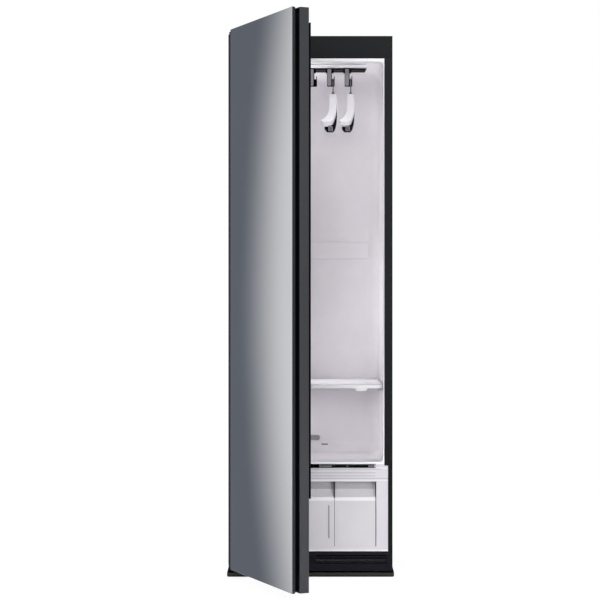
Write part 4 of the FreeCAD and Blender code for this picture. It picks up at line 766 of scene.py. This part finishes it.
def hanger_shells():
    """Both hangers' shells with rounded near ends and pointed far ends, and the grips below."""
    for number in (1, 2):
        body = f"hanger_{number}"
        swing = joints[f"{body}_swing"]
        pivot, across = Vector(swing["pos_m"]), Vector(swing["axis"])
        along = Vector((-across.y, across.x, 0))
        for part, ending, slot_name, near_pull, far_pull in HANGER_COPIES:
            shape = Shape()
            shape.mesh.from_mesh(nodes[f"{body}_{part}"].data)
            bend_ends(shape, pivot, along, across, near_pull, far_pull)
            shape.smooth(SMOOTH_BELOW)
            lower = shape.done(f"{body}_{ending}", slot_name, body, (f"{body}_{part}",))
        plates, bars = Shape(), Shape()
        for side in (-1, 1):
            below = pivot + along * (side * GRIP_REACH) + across * GRIP_SIDE
            below.z -= GRIP_BELOW
            base = stand(*touch(lower, below, UPWARD), along)
            outline = rounded(GRIP_WIDTH, GRIP_LENGTH, GRIP_RADIUS)
            plates.plate(base, outline, -MM, 1.2 * MM, ease=0.8 * MM)
            for k in range(GRIP_BARS):
                rise = (k - (GRIP_BARS - 1) / 2) * BAR_PITCH
                bar = base @ Matrix.Translation((0, rise, 0))
                outline = rounded(BAR_WIDTH, BAR_LENGTH, BAR_RADIUS)
                bars.plate(bar, outline, MM, 2.4 * MM, ease=0.5 * MM)
        plates.done(f"{body}_grips", "strap_grey", body)
        bars.done(f"{body}_grip_bars", "bay_dark", body)


# Levels and end of the dark strips painted as shade above and below the intake slot.
SLOT_SHADE_LEVELS = ((389.7, 391.7), (402.3, 404.6))  # in mm
SLOT_SHADE_END = 34 * MM  # from the liner's right side


def slot_shade_strip():
    """Dark strips above and below the intake slot: painted shade that makes its dark opening look
    taller.
    """
    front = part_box("opening_trim")[0].y
    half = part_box("inner_liner")[1].x - SLOT_SHADE_END
    shape = Shape()
    for low, high in SLOT_SHADE_LEVELS:
        middle = stand((0.0, front, (low + high) / 2 * MM), FORWARD)
        outline = rounded(2 * half, (high - low) * MM, 0.8 * MM)
        shape.plate(middle, outline, -MM, 0.4 * MM, ease=0.2 * MM)
    shape.done("slot_shade_strips", "gasket_rubber", "cabinet")


DRAIN_FROM = (56.6 * MM, 0.0, 434 * MM)  # in the chamber, straight in front of the slot
DRAIN_WIDTH, DRAIN_HEIGHT = 26 * MM, 4 * MM


def drain_mark():
    """Short drain slot in the cove between the chamber's floor and its back wall, drawn as a dark
    plate whose black is painted shade.
    """
    place, normal = touch(nodes["inner_liner"], DRAIN_FROM, BACKWARD)
    outline = rounded(DRAIN_WIDTH, DRAIN_HEIGHT, 1.9 * MM)
    shape = Shape()
    shape.plate(stand(place, normal), outline, -0.5 * MM, 0.4 * MM, ease=0.2 * MM)
    shape.done("drain_slot", "rail_dark", "cabinet")


OUTSIDE = 100 * MM  # rays that look for a surface start this far in front of it
REAR_RADIUS = 3.6 * MM
REAR_SUNK = 1.25 * MM
REAR_ROWS = 6
REAR_BOTTOM, REAR_TOP, REAR_SIDE = 40 * MM, 20 * MM, 22 * MM  # from the sheet's edges


def rear_screws():
    """Sunk screws along the upright edges of the sheet at the back."""
    low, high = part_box("back_panel")
    rise = high.z - low.z - REAR_BOTTOM - REAR_TOP
    shape = Shape()
    for row in range(REAR_ROWS):
        z = low.z + REAR_BOTTOM + rise * row / (REAR_ROWS - 1)
        for x in (low.x + REAR_SIDE, high.x - REAR_SIDE):
            place, normal = touch(nodes["back_panel"], (x, high.y + OUTSIDE, z), FORWARD)
            shape.screw(stand(place - normal * REAR_SUNK, normal), REAR_RADIUS)
    shape.done("rear_screws", "galvanised", "cabinet")


BRACKET_RADIUS = 4.2 * MM
UPPER_SCREWS = ((6, 82), (30, 84), (6, 118), (30, 118))  # right of and behind the hinge, in mm
ABOVE_ALL = 2.2  # higher than the cabinet
LOWER_SCREWS = (16, 60)  # below the lower bracket's top, in mm


def bracket_screws():
    """Screws that hold the hinge brackets to the cabinet."""
    shape = Shape()
    for dx, dy in UPPER_SCREWS:
        start = HINGE + Vector((dx * MM, dy * MM, ABOVE_ALL))
        place, normal = touch(nodes["hinge_bracket_upper"], start, DOWNWARD)
        shape.screw(stand(place, normal, BACKWARD), BRACKET_RADIUS)
    low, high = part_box("hinge_bracket_lower")
    for drop in LOWER_SCREWS:
        start = ((low.x + high.x) / 2, low.y - OUTSIDE, high.z - drop * MM)
        place, normal = touch(nodes["hinge_bracket_lower"], start, BACKWARD)
        shape.screw(stand(place, normal), BRACKET_RADIUS)
    shape.done("bracket_screws", "hinge_steel", "cabinet")


for build in (
    door_gasket,
    hook_straps,
    rail_inlay,
    tank_windows,
    hanger_shells,
    slot_shade_strip,
    drain_mark,
    rear_screws,
    bracket_screws,
):
    build()

# ---------------------------------------------------------------- stage

FLOOR_SIZE = 60.0
FLOOR_GLOW, FLOOR_SHARE = 1.15, 0.8
FLOOR_DARK, FLOOR_PALE = (0.004, 0.004, 0.004, 1.0), (0.8, 0.8, 0.8, 1.0)
# The contact shadow fades between these distances beyond the floor ring's sides.
SHADOW = {"X": (0.0, 6 * MM), "Y": (8 * MM, 22 * MM)}
WORLD_LIGHT = 0.45

# The mirror's card: size, where it stands from the middle of the glass, and its shades. The border
# between dark and light runs across it and bows with the square of the height.
CARD_SIZE = (1.2, 3.4)
CARD_AIM = (0.29, 0, 1.0)
CARD_TOWARD = Vector((-0.7080, 0.7062, 0.0))
CARD_DISTANCE = 1.2
CARD_DARK, CARD_LIGHT, CARD_BOW = 0.085, -0.130, 0.060
CARD_SHADES = (0.138, 0.152, 0.178, 1.0), (0.73, 0.735, 0.75, 1.0)


def plane(name, width, height, matrix):
    """A flat piece of the stage, in the x-y plane of its frame."""
    mesh = bpy.data.meshes.new(name)
    w, h = width / 2, height / 2
    mesh.from_pydata([(-w, -h, 0), (w, -h, 0), (w, h, 0), (-w, h, 0)], [], [(0, 1, 2, 3)])
    obj = bpy.data.objects.new(name, mesh)
    obj.matrix_world = matrix
    scene.collection.objects.link(obj)
    return obj


def floor():
    """Pale floor that shows as white where it is seen, with a painted shadow that is dark where the
    cabinet stands and fades just beyond its floor ring.
    """
    material = bpy.data.materials.new("floor_pale")
    n = Nodes(material)
    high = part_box("base_frame")[1]
    beyond = []
    for name, edge in (("X", high.x), ("Y", high.y)):
        near, far = SHADOW[name]
        beyond.append(n.span(n.math("ABSOLUTE", n.axis(name)), edge + near, edge + far))
    outside = n.math("MAXIMUM", *beyond)
    # Painted shadow: dark under the cabinet, fading beyond its floor ring.
    dull = n.plain("ShaderNodeBsdfDiffuse", n.mix(outside, FLOOR_DARK, FLOOR_PALE))
    lit = n.plain("ShaderNodeBsdfDiffuse")
    glow = n.plain("ShaderNodeEmission", strength=FLOOR_GLOW)
    bright = n.math("MULTIPLY", n.seen(), outside)
    shader = n.blend(bright, dull, n.blend(FLOOR_SHARE, lit, glow))
    n.output("ShaderNodeOutputMaterial", shader)
    ground = plane("stage_floor", FLOOR_SIZE, FLOOR_SIZE, Matrix.Identity(4))
    ground.data.materials.append(material)
    ground.visible_glossy = False


def world():
    """Even white light, and a white background where it is seen."""
    studio = bpy.data.worlds.new("studio")
    scene.world = studio
    n = Nodes(studio)
    soft = n.plain("ShaderNodeBackground", strength=WORLD_LIGHT)
    white = n.plain("ShaderNodeBackground", strength=1.0)
    n.output("ShaderNodeOutputWorld", n.blend(n.seen(), soft, white))


def reflector():
    """A soft dark-to-light card that only polished surfaces see; the mirror shows its gradient."""
    material = bpy.data.materials.new("card_soft")
    n = Nodes(material)
    up = n.axis("Y")
    bowed = n.math("MULTIPLY_ADD", n.math("MULTIPLY", up, up), CARD_BOW, n.axis("X"))
    share = n.span(bowed, CARD_DARK, CARD_LIGHT, kind="SMOOTHSTEP")
    glow = n.plain("ShaderNodeEmission", n.mix(share, *CARD_SHADES), 1.0)
    n.output("ShaderNodeOutputMaterial", glow)
    side = Vector((CARD_TOWARD.y, -CARD_TOWARD.x, 0.0))
    turn = Matrix((side, Vector(UPWARD), -CARD_TOWARD)).transposed().to_4x4()
    middle = DOOR @ Vector(CARD_AIM) + CARD_TOWARD * CARD_DISTANCE
    card = plane("stage_card", *CARD_SIZE, Matrix.Translation(middle) @ turn)
    card.data.materials.append(material)
    for ray in ("camera", "diffuse", "transmission", "shadow", "volume_scatter"):
        setattr(card, f"visible_{ray}", False)


# ---------------------------------------------------------------- lights and camera

LINER_LOW, LINER_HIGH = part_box("inner_liner")
SIDE_LAMP = LINER_LOW.x + 19 * MM

# Name, place, target, width and height, power in watts and spread in degrees. A large soft lamp in
# front lights the whole, with a low one at the tanks and a weak one at the trim above the chamber.
# The others, inside, stand for the chamber's own light and for light thrown back by its walls.
LAMPS = (
    ("key", (-0.5, -5.2, 2.2), (0.05, 0.0, 1.0), (2.4, 2.4), 126.0, 180),
    ("low_fill", (1.3, -2.4, 0.35), (-0.05, -0.28, 0.25), (0.5, 0.35), 0.82, 30),
    ("side_fill_high", (SIDE_LAMP, 0.0, 1.45), (LINER_HIGH.x, 0.0, 1.45), (0.3, 0.62), 0.42, 70),
    ("side_fill_middle", (SIDE_LAMP, 0.0, 0.95), (LINER_HIGH.x, 0.0, 0.95), (0.3, 0.4), 0.47, 70),
    ("side_fill_low", (SIDE_LAMP, 0.0, 0.54), (LINER_HIGH.x, 0.0, 0.54), (0.3, 0.12), 0.22, 70),
    ("shelf_light", (0.0, -0.02, 1.3), (0.0, -0.02, 0.0), (0.45, 0.36), 0.25, 30),
    ("ceiling_fill", (0.0, -0.02, 1.2), (0.0, -0.02, 3.0), (0.45, 0.36), 0.68, 60),
    ("floor_light", (0.0, -0.05, 0.66), (0.0, -0.05, 0.0), (0.4, 0.3), 0.27, 180),
    ("lens_light", (0.05, -0.21, 1.80), (0.05, 0.02, 1.55), (0.30, 0.05), 0.04, 120),
    ("tip_light", (0.07, -0.31, 1.73), (0.07, -0.20, 1.64), (0.2, 0.02), 0.03, 70),
    ("top_light", (0.1, -1.2, 2.35), (0.1, -0.281, 1.93), (0.5, 0.05), 0.08, 12),
)

CAMERA_PLACE = (-0.020, -6.752, 1.0237)
SENSOR_WIDTH, FOCAL_LENGTH = 36.0, 107.7
PICTURE_WIDTH = 600.0
SHIFT_X, SHIFT_Y = -5.0, -7.8  # in pixels


def lamp(name, place, target, size, power, spread):
    """A soft rectangular lamp that doesn't show itself."""
    data = bpy.data.lights.new(name, "AREA")
    data.shape = "RECTANGLE"
    data.size, data.size_y = size
    data.energy = power
    data.spread = math.radians(spread)
    aim = (Vector(target) - Vector(place)).to_track_quat("-Z", "Y")
    obj = bpy.data.objects.new(name, data)
    obj.matrix_world = Matrix.Translation(place) @ aim.to_matrix().to_4x4()
    obj.visible_glossy = False
    obj.visible_camera = False
    scene.collection.objects.link(obj)


def camera():
    """The photograph's view: level, from the front."""
    data = bpy.data.cameras.new("camera")
    data.sensor_width = SENSOR_WIDTH
    data.lens = FOCAL_LENGTH
    data.shift_x = SHIFT_X / PICTURE_WIDTH
    data.shift_y = SHIFT_Y / PICTURE_WIDTH
    data.clip_end = 100.0
    obj = bpy.data.objects.new("camera", data)
    obj.location = CAMERA_PLACE
    obj.rotation_euler = (math.radians(90), 0, 0)
    scene.collection.objects.link(obj)
    scene.camera = obj


floor()
world()
for row in LAMPS:
    lamp(*row)
reflector()
camera()
scene.view_settings.view_transform = "Standard"
